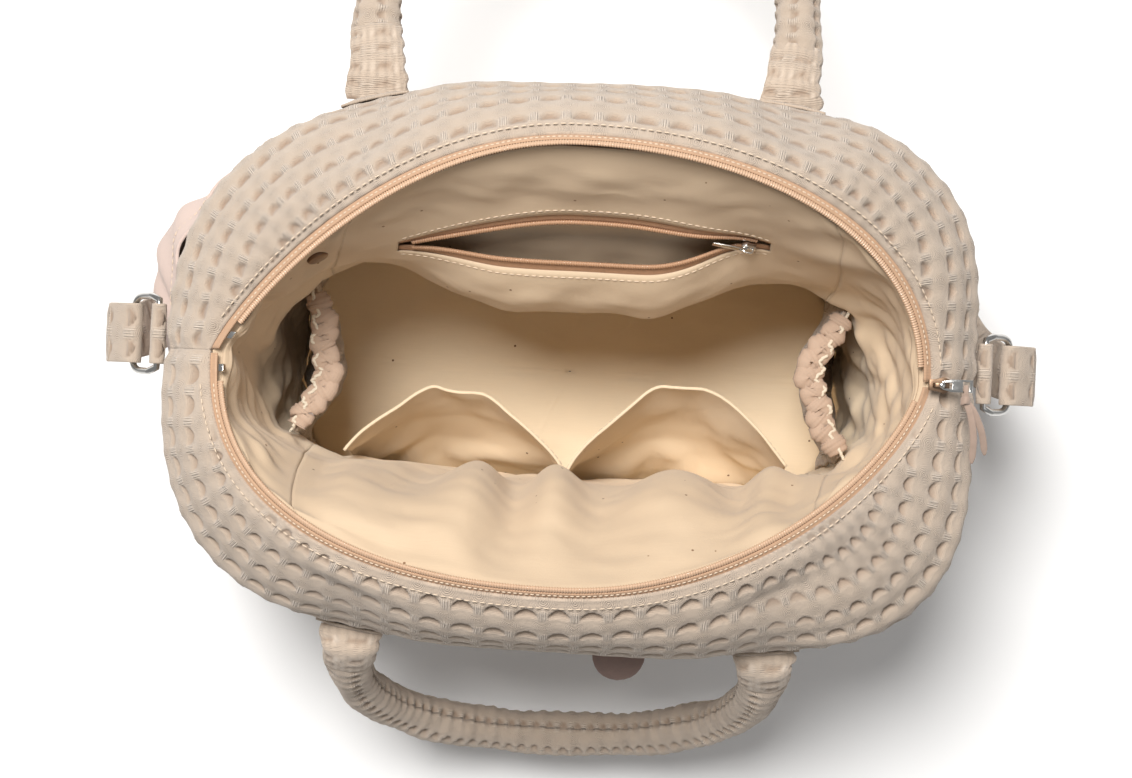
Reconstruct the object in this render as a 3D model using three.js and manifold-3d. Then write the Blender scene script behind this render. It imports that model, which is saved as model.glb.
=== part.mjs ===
// A soft baby-care bag, standing open: a waffle-cotton shell, a curved top zip parted into an oval mouth,
// a loose cotton lining with five inner pockets, two rolled handles, two D-rings and a shoulder strap.
// Millimetres, +X to the bag's right, +Y to its back, +Z up; the origin is the middle of the underside.
import * as THREE from "three";
import { mergeVertices } from "three/addons/utils/BufferGeometryUtils.js";
import Module from "manifold-3d";

const wasm = await Module();
wasm.setup();

// ---------------------------------------------------------------- driving dimensions
const BASE_HALF_WIDTH = 186;
const BASE_HALF_DEPTH = 92;
const SEAM_HALF_WIDTH = 228; // where the walls meet the zip strips
const SEAM_HALF_DEPTH = 158;
const SEAM_Z = 235;
const MOUTH_HALF_WIDTH = 200; // along the zip
const MOUTH_HALF_DEPTH = 125;
const MOUTH_Z_MIDDLE = 314; // the zip arches up from its two ends
const MOUTH_Z_END = 264;
const SHELL = 3.5; // padded waffle cloth
const LINING = 1; // plain cotton, drawn thicker than it is
const SEAM_GAP = 0.4; // between two pieces that are sewn together
const STRAP_WIDTH = 36;
const STRAP_THICK = 3.4;
const HANDLE_RADIUS = 14;
const HANDLE_REACH = 170; // from the sewn ends to the far side of the grip
const HANDLE_SPREAD = 118; // half the distance between its sewn ends
const FRONT_LEAN = 24; // degrees out from straight down, where the front handle hangs
const BACK_LEAN = 78; // the back handle lies folded out over nothing, held up by its stiff sewn ends

// ---------------------------------------------------------------- colours
const WAFFLE = { color: 0xd6c3b3, roughness: 0.95 };
const COTTON = { color: 0xe8d6b8, roughness: 0.9 };
const TWILL = { color: 0xdcc9c0, roughness: 0.85 };
const TAPE = { color: 0xe3b78f, roughness: 0.8 };
const DARK_TAPE = { color: 0xb67a52, roughness: 0.8 };
const LEATHER = { color: 0x6e4a3a, roughness: 0.6 };
const RIBBON = { color: 0xc0a595, roughness: 0.8 };
const STEEL = { color: 0xd0d0d0, roughness: 0.2, metalness: 1 };
const BRONZE = { color: 0x5a4638, roughness: 0.4, metalness: 1 };
const BOARD = { color: 0x8c8378, roughness: 0.8 };
const RUBBER = { color: 0xf2efe8, roughness: 0.7 };

// ---------------------------------------------------------------- a wall as rings stacked by height
// A station is [w, half width, half depth, height over the middle, height over the ends] and then the
// squareness of its back right, back left, front left and front right corners: 1 points at the ends, 2 is
// round and 5 nearly square.
const OUTER_STATIONS = [
  [0, BASE_HALF_WIDTH, BASE_HALF_DEPTH, 4, 4, 5.5, 5.5, 5.5, 5.5],
  [0.14, 195, 103, 26, 26, 5, 5, 5, 5],
  [0.55, 220, 144, 125, 125, 4.2, 3.6, 4, 4.2],
  [1, SEAM_HALF_WIDTH, SEAM_HALF_DEPTH, SEAM_Z, SEAM_Z - 7, 3.5, 2.6, 3.2, 4],
  [1.35, 223, 154, 266, 245, 3, 2.2, 2.9, 3],
  [1.7, 213, 143, 294, 258, 2.5, 1.6, 2.5, 2],
  [2, MOUTH_HALF_WIDTH, MOUTH_HALF_DEPTH, MOUTH_Z_MIDDLE, MOUTH_Z_END, 2.1, 1.15, 2.3, 1.4],
];
const LINING_STATIONS = [
  [0, 178, 84, 9, 9, 5, 5, 5, 5],
  [0.22, 182, 77, 66, 64, 4.6, 4.6, 4.6, 4.6],
  [0.45, 184, 71, 134, 130, 4, 3.4, 4, 4],
  [0.65, 187, 71, 192, 184, 3.4, 2.6, 3.4, 3.4],
  [0.8, 190, 83, 240, 217, 2.8, 2, 2.8, 2.5],
  [0.92, 192.5, 104, 284, 243, 2.4, 1.5, 2.4, 1.8],
  [1, 193, 118, 305, 256, 2.1, 1.15, 2.3, 1.4],
];
const HEIGHT_POWER = 1.4; // how late the zip rises on its way from the ends to the middle

const radians = (degrees) => (degrees * Math.PI) / 180;
const mix = (a, b, t) => a + (b - a) * t;

// Catmull-Rom through the stations, column by column.
function stationAt(stations, w) {
  const above = stations.findIndex((s) => s[0] >= w);
  const i = above < 0 ? stations.length - 1 : Math.max(above, 1);
  const p1 = stations[i - 1];
  const p2 = stations[i];
  const p0 = stations[i - 2] ?? p1;
  const p3 = stations[i + 1] ?? p2;
  const t = (w - p1[0]) / (p2[0] - p1[0]);
  return p1.map((v, k) => {
    const m1 = ((p2[k] - p0[k]) / (p2[0] - p0[0])) * (p2[0] - p1[0]);
    const m2 = ((p3[k] - p1[k]) / (p3[0] - p1[0])) * (p2[0] - p1[0]);
    const t2 = t * t;
    const t3 = t2 * t;
    return (2 * t3 - 3 * t2 + 1) * v + (t3 - 2 * t2 + t) * m1 + (3 * t2 - 2 * t3) * p2[k] + (t3 - t2) * m2;
  });
}

// How far out the outline |x|^max(n, 2) + |y|^n = 1 lies along the direction (c, s), by halving.
function radiusFactor(c, s, n) {
  let near = 0.7;
  let far = 1.5;
  for (let i = 0; i < 40; i++) {
    const k = (near + far) / 2;
    if ((k * c) ** Math.max(n, 2) + (k * s) ** n > 1) far = k;
    else near = k;
  }
  return near;
}

// The wall's point at angle phi (degrees, 0 at the right end, 90 at the back) and height w.
function wall(stations) {
  return (phi, w) => {
    const [, a, b, zMiddle, zEnd, ...corners] = stationAt(stations, w);
    const c = Math.cos(radians(phi));
    const s = Math.sin(radians(phi));
    const n = corners[Math.floor((((phi % 360) + 360) % 360) / 90)];
    const k = radiusFactor(Math.abs(c), Math.abs(s), n);
    const lift = Math.min(1, Math.abs(k * s)) ** HEIGHT_POWER;
    return new THREE.Vector3(a * k * c, b * k * s, mix(zEnd, zMiddle, lift));
  };
}
const outerWall = wall(OUTER_STATIONS);
const liningWall = wall(LINING_STATIONS);

// The wall's unit normal at a point, towards the inside of the bag.
function inward(surface, phi, w) {
  const dPhi = surface(phi + 0.6, w).sub(surface(phi - 0.6, w));
  const dW = surface(phi, w + 0.02).sub(surface(phi, w - 0.02));
  return dW.cross(dPhi).normalize();
}

// Ring angles, closer together round the corners. Every wall piece uses them, so facets lie parallel.
const QUARTER = [0, 3, 8, 16, 24, 32, 39, 45, 51, 58, 66, 74, 82];
const MIRRORED_QUARTER = [0, ...QUARTER.slice(1).map((v) => 90 - v).reverse()];
const RING = [0, 90, 180, 270].flatMap((turn, q) => {
  const quarter = q % 2 ? MIRRORED_QUARTER : QUARTER;
  return quarter.map((v) => turn + v);
});
function angles(from, to) {
  const found = [];
  for (const turn of [-360, 0, 360]) for (const v of RING) found.push(v + turn);
  return found.filter((v) => v >= from - 0.01 && v <= to + 0.01).sort((p, q) => p - q);
}

// ---------------------------------------------------------------- solids from points
function geometryOf(points, faces) {
  const position = new Float32Array(points.flatMap((p) => [p.x, p.y, p.z]));
  let volume = 0;
  for (const [i, j, k] of faces) volume += points[i].dot(points[j].clone().cross(points[k]));
  const index = volume < 0 ? faces.flatMap(([i, j, k]) => [i, k, j]) : faces.flat();
  const geometry = new THREE.BufferGeometry();
  geometry.setAttribute("position", new THREE.BufferAttribute(position, 3));
  return geometry.setIndex(index);
}

// A sheet between an outer and an inner surface, on the cells of the lattice that keep() lets stay.
function between(outer, inner, phis, ws, keep = () => true) {
  const points = [];
  const at = (side, i, j) => (side * phis.length + i) * ws.length + j;
  for (const surface of [outer, inner]) {
    for (const phi of phis) for (const w of ws) points.push(surface(phi, w));
  }
  const inLattice = (i, j) => i >= 0 && j >= 0 && i < phis.length - 1 && j < ws.length - 1;
  const kept = (i, j) => inLattice(i, j) && keep((phis[i] + phis[i + 1]) / 2, (ws[j] + ws[j + 1]) / 2);
  const faces = [];
  const quad = (a, b, c, d) => faces.push([a, b, c], [a, c, d]);
  for (let i = 0; i < phis.length - 1; i++) {
    for (let j = 0; j < ws.length - 1; j++) {
      if (!kept(i, j)) continue;
      quad(at(0, i, j), at(0, i + 1, j), at(0, i + 1, j + 1), at(0, i, j + 1));
      quad(at(1, i, j), at(1, i, j + 1), at(1, i + 1, j + 1), at(1, i + 1, j));
      if (!kept(i - 1, j)) quad(at(0, i, j), at(0, i, j + 1), at(1, i, j + 1), at(1, i, j));
      if (!kept(i + 1, j)) quad(at(0, i + 1, j + 1), at(0, i + 1, j), at(1, i + 1, j), at(1, i + 1, j + 1));
      if (!kept(i, j - 1)) quad(at(0, i + 1, j), at(0, i, j), at(1, i, j), at(1, i + 1, j));
      if (!kept(i, j + 1)) quad(at(0, i, j + 1), at(0, i + 1, j + 1), at(1, i + 1, j + 1), at(1, i, j + 1));
    }
  }
  return geometryOf(points, faces);
}

// A sheet between two depths under a wall; a depth is a number or a function of the place.
function skin(surface, phis, ws, outerDepth, innerDepth, keep) {
  const under = (depth) => (phi, w) => {
    const d = typeof depth === "function" ? depth(phi, w) : depth;
    return surface(phi, w).addScaledVector(inward(surface, phi, w), d);
  };
  return between(under(outerDepth), under(innerDepth), phis, ws, keep);
}

// A solid through a row of convex sections, capped at both ends or closed into a loop.
function loft(sections, closed = false) {
  const points = sections.flat();
  const size = sections[0].length;
  const faces = [];
  const spans = closed ? sections.length : sections.length - 1;
  for (let i = 0; i < spans; i++) {
    const p = i * size;
    const q = ((i + 1) % sections.length) * size;
    for (let j = 0; j < size; j++) {
      const k = (j + 1) % size;
      faces.push([p + j, p + k, q + k], [p + j, q + k, q + j]);
    }
  }
  if (!closed) {
    const last = (sections.length - 1) * size;
    for (let j = 1; j < size - 1; j++) faces.push([0, j + 1, j], [last, last + j, last + j + 1]);
  }
  return geometryOf(points, faces);
}

function joinOrCut(first, second, how) {
  const [a, b] = [first, second].map((geometry) => {
    const plain = geometry.index ? geometry.toNonIndexed() : geometry.clone();
    for (const name of ["normal", "uv"]) plain.deleteAttribute(name);
    const merged = mergeVertices(plain, 1e-4);
    const vertProperties = merged.attributes.position.array;
    const triVerts = new Uint32Array(merged.index.array);
    return new wasm.Manifold(new wasm.Mesh({ numProp: 3, vertProperties, triVerts }));
  });
  const made = a[how](b).getMesh();
  const geometry = new THREE.BufferGeometry();
  geometry.setAttribute("position", new THREE.BufferAttribute(new Float32Array(made.vertProperties), 3));
  return geometry.setIndex(new THREE.BufferAttribute(made.triVerts, 1));
}

const group = new THREE.Group();
function add(name, geometry, look) {
  const mesh = new THREE.Mesh(geometry, new THREE.MeshStandardMaterial(look));
  mesh.name = name;
  group.add(mesh);
  return mesh;
}

// ---------------------------------------------------------------- base cloth, stiffener and floor
function plate(halfWidth, halfDepth, z, thick) {
  const flat = wall([
    [0, halfWidth, halfDepth, z, z, 5.5, 5.5, 5.5, 5.5],
    [1, halfWidth, halfDepth, z + thick, z + thick, 5.5, 5.5, 5.5, 5.5],
  ]);
  return loft([0, 1].map((w) => RING.map((phi) => flat(phi, w))));
}
add("base_panel", plate(BASE_HALF_WIDTH + 2, BASE_HALF_DEPTH + 2, 0, SHELL), WAFFLE);
const BOARD_INSET = 8;
const BOARD_THICK = 3.2;
const BOARD_Z = SHELL + SEAM_GAP;
const FLOOR_INSET = 10;
const FLOOR_Z = BOARD_Z + BOARD_THICK + 0.5; // the lining's floor lies loose on the board
const insetPlate = (inset, z, thick) => plate(BASE_HALF_WIDTH - inset, BASE_HALF_DEPTH - inset, z, thick);
add("base_board", insetPlate(BOARD_INSET, BOARD_Z, BOARD_THICK), BOARD);
add("lining_base", insetPlate(FLOOR_INSET, FLOOR_Z, LINING), COTTON);

// ---------------------------------------------------------------- outer walls and zip strips
const EDGE = 0.12; // degrees trimmed off a wall piece where it is sewn to the next
const WALL_LEVELS = [0, 0.14, 0.35, 0.55, 0.78, 0.998];
const STRIP_LEVELS = [1.002, 1.35, 1.7, 1.86, 2];
function wallPiece(from, to) {
  const phis = angles(from, to);
  phis[0] += EDGE;
  phis[phis.length - 1] -= EDGE;
  return phis;
}
add("right_end_panel", skin(outerWall, wallPiece(-45, 45), WALL_LEVELS, 0, SHELL), WAFFLE);
add("back_panel", skin(outerWall, wallPiece(45, 135), WALL_LEVELS, 0, SHELL), WAFFLE);
add("left_end_panel", skin(outerWall, wallPiece(135, 225), WALL_LEVELS, 0, SHELL), WAFFLE);
add("front_panel", skin(outerWall, wallPiece(225, 315), WALL_LEVELS, 0, SHELL), WAFFLE);
add("back_zip_strip", skin(outerWall, wallPiece(0, 180), STRIP_LEVELS, 0, SHELL), WAFFLE);
add("front_zip_strip", skin(outerWall, wallPiece(180, 360), STRIP_LEVELS, 0, SHELL), WAFFLE);

// ---------------------------------------------------------------- top zip: two tapes, two coils, stops
const TAPE_THICK = 0.8;
const TAPE_DEPTH = SHELL + 0.8; // how far in from the strip's face the tape lies
const TAPE_BELOW = 8; // sewn under the strip
const TAPE_ABOVE = 5; // standing past the strip's edge
const COIL_WIDE = 3.4;
const COIL_THICK = 2.6;
const LAST_LEVEL = STRIP_LEVELS[STRIP_LEVELS.length - 2];

// A point beside the mouth's edge: up millimetres past it along the strip, and depth millimetres inwards.
function besideEdge(phi, up, depth) {
  const edge = outerWall(phi, 2);
  const along = edge.clone().sub(outerWall(phi, LAST_LEVEL)).normalize();
  return edge.addScaledVector(along, up).addScaledVector(inward(outerWall, phi, 2), depth);
}
function edgeBand(phis, upFrom, upTo, depthFrom, depthTo) {
  const corners = [
    [upFrom, depthFrom],
    [upTo, depthFrom],
    [upTo, depthTo],
    [upFrom, depthTo],
  ];
  return loft(phis.map((phi) => corners.map(([up, depth]) => besideEdge(phi, up, depth))));
}
const COIL_FROM = TAPE_ABOVE + 0.35;
const COIL_TO = COIL_FROM + COIL_WIDE;
const COIL_DEPTH = TAPE_DEPTH - 0.9;
const COIL_BACK = COIL_DEPTH + COIL_THICK;
const STOP_SPAN = 2; // degrees of the edge that a top stop clamps
for (const [side, from, to] of [
  ["back", 3, 177],
  ["front", 183, 357],
]) {
  const tape = edgeBand(angles(from, to), -TAPE_BELOW, TAPE_ABOVE, TAPE_DEPTH, TAPE_DEPTH + TAPE_THICK);
  add(side + "_zip_tape", tape, TAPE);
  const run = side === "back" ? [4.5, ...angles(8, 173)] : [...angles(187, 352), 355.5];
  const coil = edgeBand(run, COIL_FROM, COIL_TO, COIL_DEPTH, COIL_BACK);
  add(side + "_zip_coil", coil, TAPE);
  const stopFrom = side === "back" ? 174.6 : 183.4;
  const stop = edgeBand([stopFrom, stopFrom + STOP_SPAN], COIL_FROM + 0.2, COIL_TO, COIL_DEPTH, COIL_BACK);
  add(side + "_top_stop", stop, STEEL);
}

// ---------------------------------------------------------------- top zip's slider, pull and ribbon
const SLIDER_X = MOUTH_HALF_WIDTH + 1;
const SLIDER_Z = MOUTH_Z_END + 5;
const block = (x, y, z) => new THREE.BoxGeometry(x, y, z);
const moved = (geometry, x, y, z) => geometry.translate(x, y, z);
// A flat-backed slider with a raised bridge across its top, which the pull's bar passes under.
function sliderSolid(length, width, thick, bridge, strap) {
  const outline = new THREE.Shape();
  outline.moveTo(-length / 2, -width * 0.32);
  outline.quadraticCurveTo(0, -width * 0.36, length * 0.2, -width / 2);
  outline.lineTo(length / 2, -width * 0.36);
  outline.lineTo(length / 2, width * 0.36);
  outline.lineTo(length * 0.2, width / 2);
  outline.quadraticCurveTo(0, width * 0.36, -length / 2, width * 0.32);
  const body = new THREE.ExtrudeGeometry(outline, { depth: thick, bevelEnabled: false, curveSegments: 3 });
  const arch = new THREE.Shape();
  arch.moveTo(-bridge, 0);
  arch.lineTo(bridge, 0);
  arch.lineTo(bridge, 1.8);
  arch.quadraticCurveTo(bridge, 3.4, 0, 3.4);
  arch.quadraticCurveTo(-bridge, 3.4, -bridge, 1.8);
  const hole = new THREE.Path();
  hole.moveTo(-bridge + 1, 0.6);
  hole.lineTo(-bridge + 1, 2.4);
  hole.lineTo(bridge - 1, 2.4);
  hole.lineTo(bridge - 1, 0.6);
  arch.holes.push(hole);
  const strip = new THREE.ExtrudeGeometry(arch, { depth: strap, bevelEnabled: false, curveSegments: 4 });
  strip.rotateX(Math.PI / 2);
  moved(strip, 0, strap / 2, thick - 0.3);
  return joinOrCut(body, strip, "add");
}
const SLIDER_THICK = 3.2;
const slider = add("zip_slider", sliderSolid(11, 9, SLIDER_THICK, 3.6, 2.4), BRONZE);
slider.position.set(SLIDER_X, 0, SLIDER_Z);

// A pull is a flat plate with a slot at each end: one for the slider's bridge, one for the ribbon.
function pullSolid(length, width, thick, slots) {
  const outline = new THREE.Shape();
  outline.moveTo(0, -width * 0.3);
  outline.lineTo(length * 0.3, -width / 2);
  outline.lineTo(length, -width / 2);
  outline.lineTo(length, width / 2);
  outline.lineTo(length * 0.3, width / 2);
  outline.lineTo(0, width * 0.3);
  for (const [from, to, half] of slots) {
    const hole = new THREE.Path();
    hole.moveTo(from, -half);
    hole.lineTo(from, half);
    hole.lineTo(to, half);
    hole.lineTo(to, -half);
    outline.holes.push(hole);
  }
  return moved(new THREE.ExtrudeGeometry(outline, { depth: thick, bevelEnabled: false }), 0, 0, -thick / 2);
}
const PULL_LENGTH = 17;
const PULL_X = SLIDER_X + 1.6; // the pull's bar turns here, inside the bridge
const PULL_Z = SLIDER_Z + SLIDER_THICK + 1.1;
// The pull's near end hooks under the bridge with a bar thin enough to turn there.
const pull = add("zip_pull", pullSolid(PULL_LENGTH, 7, 0.9, [[1.0, 5.6, 1.6], [11.5, 15, 2.4]]), STEEL);
pull.position.set(PULL_X - 0.5, 0, PULL_Z);

// Two cloth tails hang from the pull's outer slot, joined by the bight that passes through it.
const RIBBON_X = PULL_X - 0.5 + 13.2;
function ribbonTail(offsets) {
  const points = offsets.map(([x, y, z]) => new THREE.Vector3(RIBBON_X + x, y, PULL_Z + z));
  const line = new THREE.CatmullRomCurve3(points);
  const steps = 8;
  const sections = [];
  for (let i = 0; i <= steps; i++) {
    const p = line.getPoint(i / steps);
    const t = line.getTangent(i / steps);
    const side = new THREE.Vector3(0, 0, 1).cross(t).normalize();
    const up = t.clone().cross(side).normalize();
    const ring = [
      [-1.6, -0.6],
      [1.6, -0.6],
      [1.6, 0.6],
      [-1.6, 0.6],
    ];
    sections.push(ring.map(([s, u]) => p.clone().addScaledVector(side, s).addScaledVector(up, u)));
  }
  return loft(sections);
}
const bight = moved(block(1.6, 2.6, 4), RIBBON_X, -0.5, PULL_Z);
const lowerTail = ribbonTail([
  [0.4, -7.6, -0.6],
  [3.4, -15, -1.5],
  [6.6, -28, -6],
  [7.5, -42, -13],
]);
const upperTail = ribbonTail([
  [0.4, -7.6, -0.6],
  [5.4, -14, -1],
  [11, -25, -6],
  [14.5, -37, -13],
]);
const collar = moved(block(4.4, 5.2, 4.4), RIBBON_X + 0.2, -8, PULL_Z - 0.8);
const bridgeOfBight = moved(block(1.6, 5.8, 1.4), RIBBON_X, -3.2, PULL_Z + 1.4);
const bridgeBelow = moved(block(1.6, 5.8, 1.4), RIBBON_X, -3.2, PULL_Z - 1.4);
const ribbon = [lowerTail, upperTail, bridgeOfBight, bridgeBelow, bight].reduce(
  (made, piece) => joinOrCut(made, piece, "add"),
  collar,
);
add("zip_ribbon", ribbon, RIBBON);

// ---------------------------------------------------------------- lining walls
const LINING_LEVELS = [0.012, 0.1, 0.22, 0.34, 0.45, 0.56, 0.65, 0.72, 0.74, 0.82, 0.84, 0.92, 1];
const WINDOW = { from: 58, to: 122, low: 0.74, high: 0.82 }; // the inner zip pocket's slot
const inWindow = (phi, w) => phi > WINDOW.from && phi < WINDOW.to && w > WINDOW.low && w < WINDOW.high;
for (const [name, from, to] of [
  ["lining_right", -45, 45],
  ["lining_back", 45, 135],
  ["lining_left", 135, 225],
  ["lining_front", 225, 315],
]) {
  const keep = name === "lining_back" ? (phi, w) => !inWindow(phi, w) : undefined;
  add(name, skin(liningWall, wallPiece(from, to), LINING_LEVELS, 0, LINING, keep), COTTON);
}

// ---------------------------------------------------------------- inner zip pocket in the back lining
const BEHIND = -SEAM_GAP; // just outside the lining
for (const [side, levels, coilLevels] of [
  ["lower", [0.72, 0.74, 0.752], [0.7545, 0.762]],
  ["upper", [0.808, 0.82, 0.84], [0.798, 0.8055]],
]) {
  const tape = skin(liningWall, angles(WINDOW.from, WINDOW.to), levels, BEHIND - TAPE_THICK, BEHIND);
  add("pocket_" + side + "_tape", tape, DARK_TAPE);
  const coil = skin(liningWall, angles(66, 114), coilLevels, BEHIND - TAPE_THICK - 0.4, 1.2);
  add("pocket_" + side + "_coil", coil, DARK_TAPE);
}
const bagDepth = (phi, w) => {
  const across = Math.max(0, Math.sin(radians((180 * (phi - 45.2)) / 89.6)));
  const up = Math.max(0, Math.sin(radians((180 * (w - 0.34)) / 0.56)));
  return -3 - 26 * (across * up) ** 0.6;
};
const pocketBagOuter = (phi, w) => bagDepth(phi, w) - LINING;
const BAG_LEVELS = [0.34, 0.45, 0.56, 0.65, 0.72, 0.78, 0.84, 0.9];
add("zip_pocket_bag", skin(liningWall, angles(51, 129), BAG_LEVELS, pocketBagOuter, bagDepth), COTTON);
// The pocket's slider lies against the zip, with its bridge towards the middle of the bag.
function againstLining(geometry, phi, w, lift) {
  const up = inward(liningWall, phi, w);
  const along = liningWall(phi + 1, w).sub(liningWall(phi - 1, w)).normalize();
  const across = up.clone().cross(along).normalize();
  const at = liningWall(phi, w).addScaledVector(up, lift);
  const turn = new THREE.Matrix4().makeBasis(along, across, up).setPosition(at);
  return geometry.applyMatrix4(turn);
}
const POCKET_SLIDER_PHI = 61.5; // at the right end of the slot
const POCKET_SLIDER_W = (WINDOW.low + WINDOW.high) / 2;
const POCKET_SLIDER_LIFT = 1.8;
const POCKET_SLIDER_THICK = 2.6;
const pocketSlider = sliderSolid(8, 6.5, POCKET_SLIDER_THICK, 3, 1.4);
add(
  "pocket_slider",
  againstLining(pocketSlider, POCKET_SLIDER_PHI, POCKET_SLIDER_W, POCKET_SLIDER_LIFT),
  STEEL,
);
const pocketPullLift = POCKET_SLIDER_LIFT + POCKET_SLIDER_THICK + 1.1;
const pocketPull = moved(pullSolid(20, 4.4, 0.9, [[1, 4.6, 1.1]]), 0.6, 0, pocketPullLift);
add("pocket_pull", againstLining(pocketPull, POCKET_SLIDER_PHI, POCKET_SLIDER_W, 0), STEEL);

// ---------------------------------------------------------------- slip pockets on the front lining
// A pocket is a sheet sewn along its sides and foot that gapes by bulge at its hem.
function pocketSurface(surface, [from, to], [foot, hem], bulge, lift = LINING + SEAM_GAP, skew = 0) {
  return (phi, w) => {
    const u = Math.min(1, Math.max(0, (phi - from) / (to - from)));
    const across = Math.sin(Math.PI * u ** (1 + skew)) ** 0.7;
    const up = Math.min(1.05, Math.max(0, (w - foot) / (hem - foot))) ** 1.25;
    return surface(phi, w).addScaledVector(inward(surface, phi, w), lift + bulge * across * up);
  };
}
function pocket(name, surface, span, levels, bulge, lift, thick, look, skew) {
  const foot = levels[0];
  const hem = levels[levels.length - 1];
  const phis = angles(...span);
  phis[0] += EDGE;
  phis[phis.length - 1] -= EDGE;
  const sheet = pocketSurface(surface, span, [foot, hem], bulge, lift, skew);
  // The depth is taken along the lining's own normal, so the sheet keeps clear of it at its sewn sides.
  const points = (offset) => (phi, w) => sheet(phi, w).addScaledVector(inward(surface, phi, w), offset);
  const near = points(0);
  const far = points(thick);
  return add(name, between(near, far, phis, levels), look);
}
const SLIP_LEVELS = [0.1, 0.22, 0.34, 0.45, 0.56];
pocket("slip_pocket_left", liningWall, [231, 270], SLIP_LEVELS, 48, LINING + SEAM_GAP, LINING, COTTON);
pocket("slip_pocket_right", liningWall, [270, 309], SLIP_LEVELS, 58, LINING + SEAM_GAP, LINING, COTTON);

// ---------------------------------------------------------------- elastic pockets at the two ends
const END_LEVELS = [0.1, 0.22, 0.34, 0.45, 0.56];
const ELASTIC_LEVELS = [0.564, 0.586];
for (const [side, span] of [
  ["left", [141, 219]],
  ["right", [-39, 39]],
]) {
  pocket("end_pocket_" + side, liningWall, span, END_LEVELS, 40, LINING + SEAM_GAP, 2.4, WAFFLE);
  const whole = pocketSurface(liningWall, span, [END_LEVELS[0], END_LEVELS[4]], 40);
  const phis = angles(...span);
  phis[0] += EDGE;
  phis[phis.length - 1] -= EDGE;
  const near = (phi, w) => whole(phi, w);
  const far = (phi, w) => whole(phi, w).addScaledVector(inward(liningWall, phi, w), 3);
  add("elastic_" + side, between(near, far, phis, ELASTIC_LEVELS), RUBBER);
}

// ---------------------------------------------------------------- smooth pocket outside the left end
const OUTER_POCKET_FROM = 141;
const OUTER_POCKET_TO = 212;
const OUTER_POCKET_LEVELS = [0.14, 0.35, 0.55, 0.7, 0.78];
const outerPocket = (extra) => (phi, w) => {
  const along = (phi - OUTER_POCKET_FROM) / (OUTER_POCKET_TO - OUTER_POCKET_FROM);
  const u = Math.min(1, Math.max(0, along));
  const across = Math.sin(Math.PI * u ** 1.15) ** 0.8;
  const up = Math.min(1, (w - 0.08) / 0.7) ** 1.3;
  const bulge = 12 + 24 * Math.exp(-(((u - 0.22) / 0.2) ** 2)); // most of the slack is towards the back
  return outerWall(phi, w).addScaledVector(inward(outerWall, phi, w), -0.5 - bulge * across * up - extra);
};
const outerPocketPhis = angles(OUTER_POCKET_FROM, OUTER_POCKET_TO);
add("outer_pocket", between(outerPocket(1.4), outerPocket(0), outerPocketPhis, OUTER_POCKET_LEVELS), TWILL);

// ---------------------------------------------------------------- leather tab on the front panel
const tabAt = outerWall(279, 0.86);
const tabLine = new THREE.Shape();
tabLine.moveTo(-16, 0);
tabLine.lineTo(16, 0);
tabLine.lineTo(15, 12);
tabLine.quadraticCurveTo(12, 27, 0, 28);
tabLine.quadraticCurveTo(-12, 27, -15, 12);
const tab = new THREE.ExtrudeGeometry(tabLine, { depth: 2.4, bevelEnabled: false, curveSegments: 5 });
tab.rotateX(radians(-180 + 38));
add("front_tab", moved(tab, tabAt.x, tabAt.y - 3.4, tabAt.z), LEATHER);

// ---------------------------------------------------------------- snap button on the back lining
const snapGeometry = new THREE.CylinderGeometry(6, 6.5, 2.2, 20);
snapGeometry.rotateX(Math.PI / 2);
add("snap_button", againstLining(snapGeometry, 141, 0.86, LINING + SEAM_GAP + 1.7), STEEL);

// ---------------------------------------------------------------- handles and their sewn ends
const HANDLE_Z = 224;
const ROOT_HALF = 15;
const handleLine = new THREE.CatmullRomCurve3(
  [
    [-1, 0.02],
    [-1.02, 0.2],
    [-0.98, 0.5],
    [-0.8, 0.77],
    [-0.45, 0.95],
    [0, 1],
    [0.45, 0.95],
    [0.8, 0.77],
    [0.98, 0.5],
    [1.02, 0.2],
    [1, 0.02],
  ].map(([x, t]) => new THREE.Vector3(x * HANDLE_SPREAD, 0, -t * HANDLE_REACH)),
);
const HANDLE_STEPS = 34;
const HANDLE_SIDES = 12;
const ROOT_LEVELS = [0.84, 0.9, 0.96];
const ROOT_THICK = 2.4;
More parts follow.
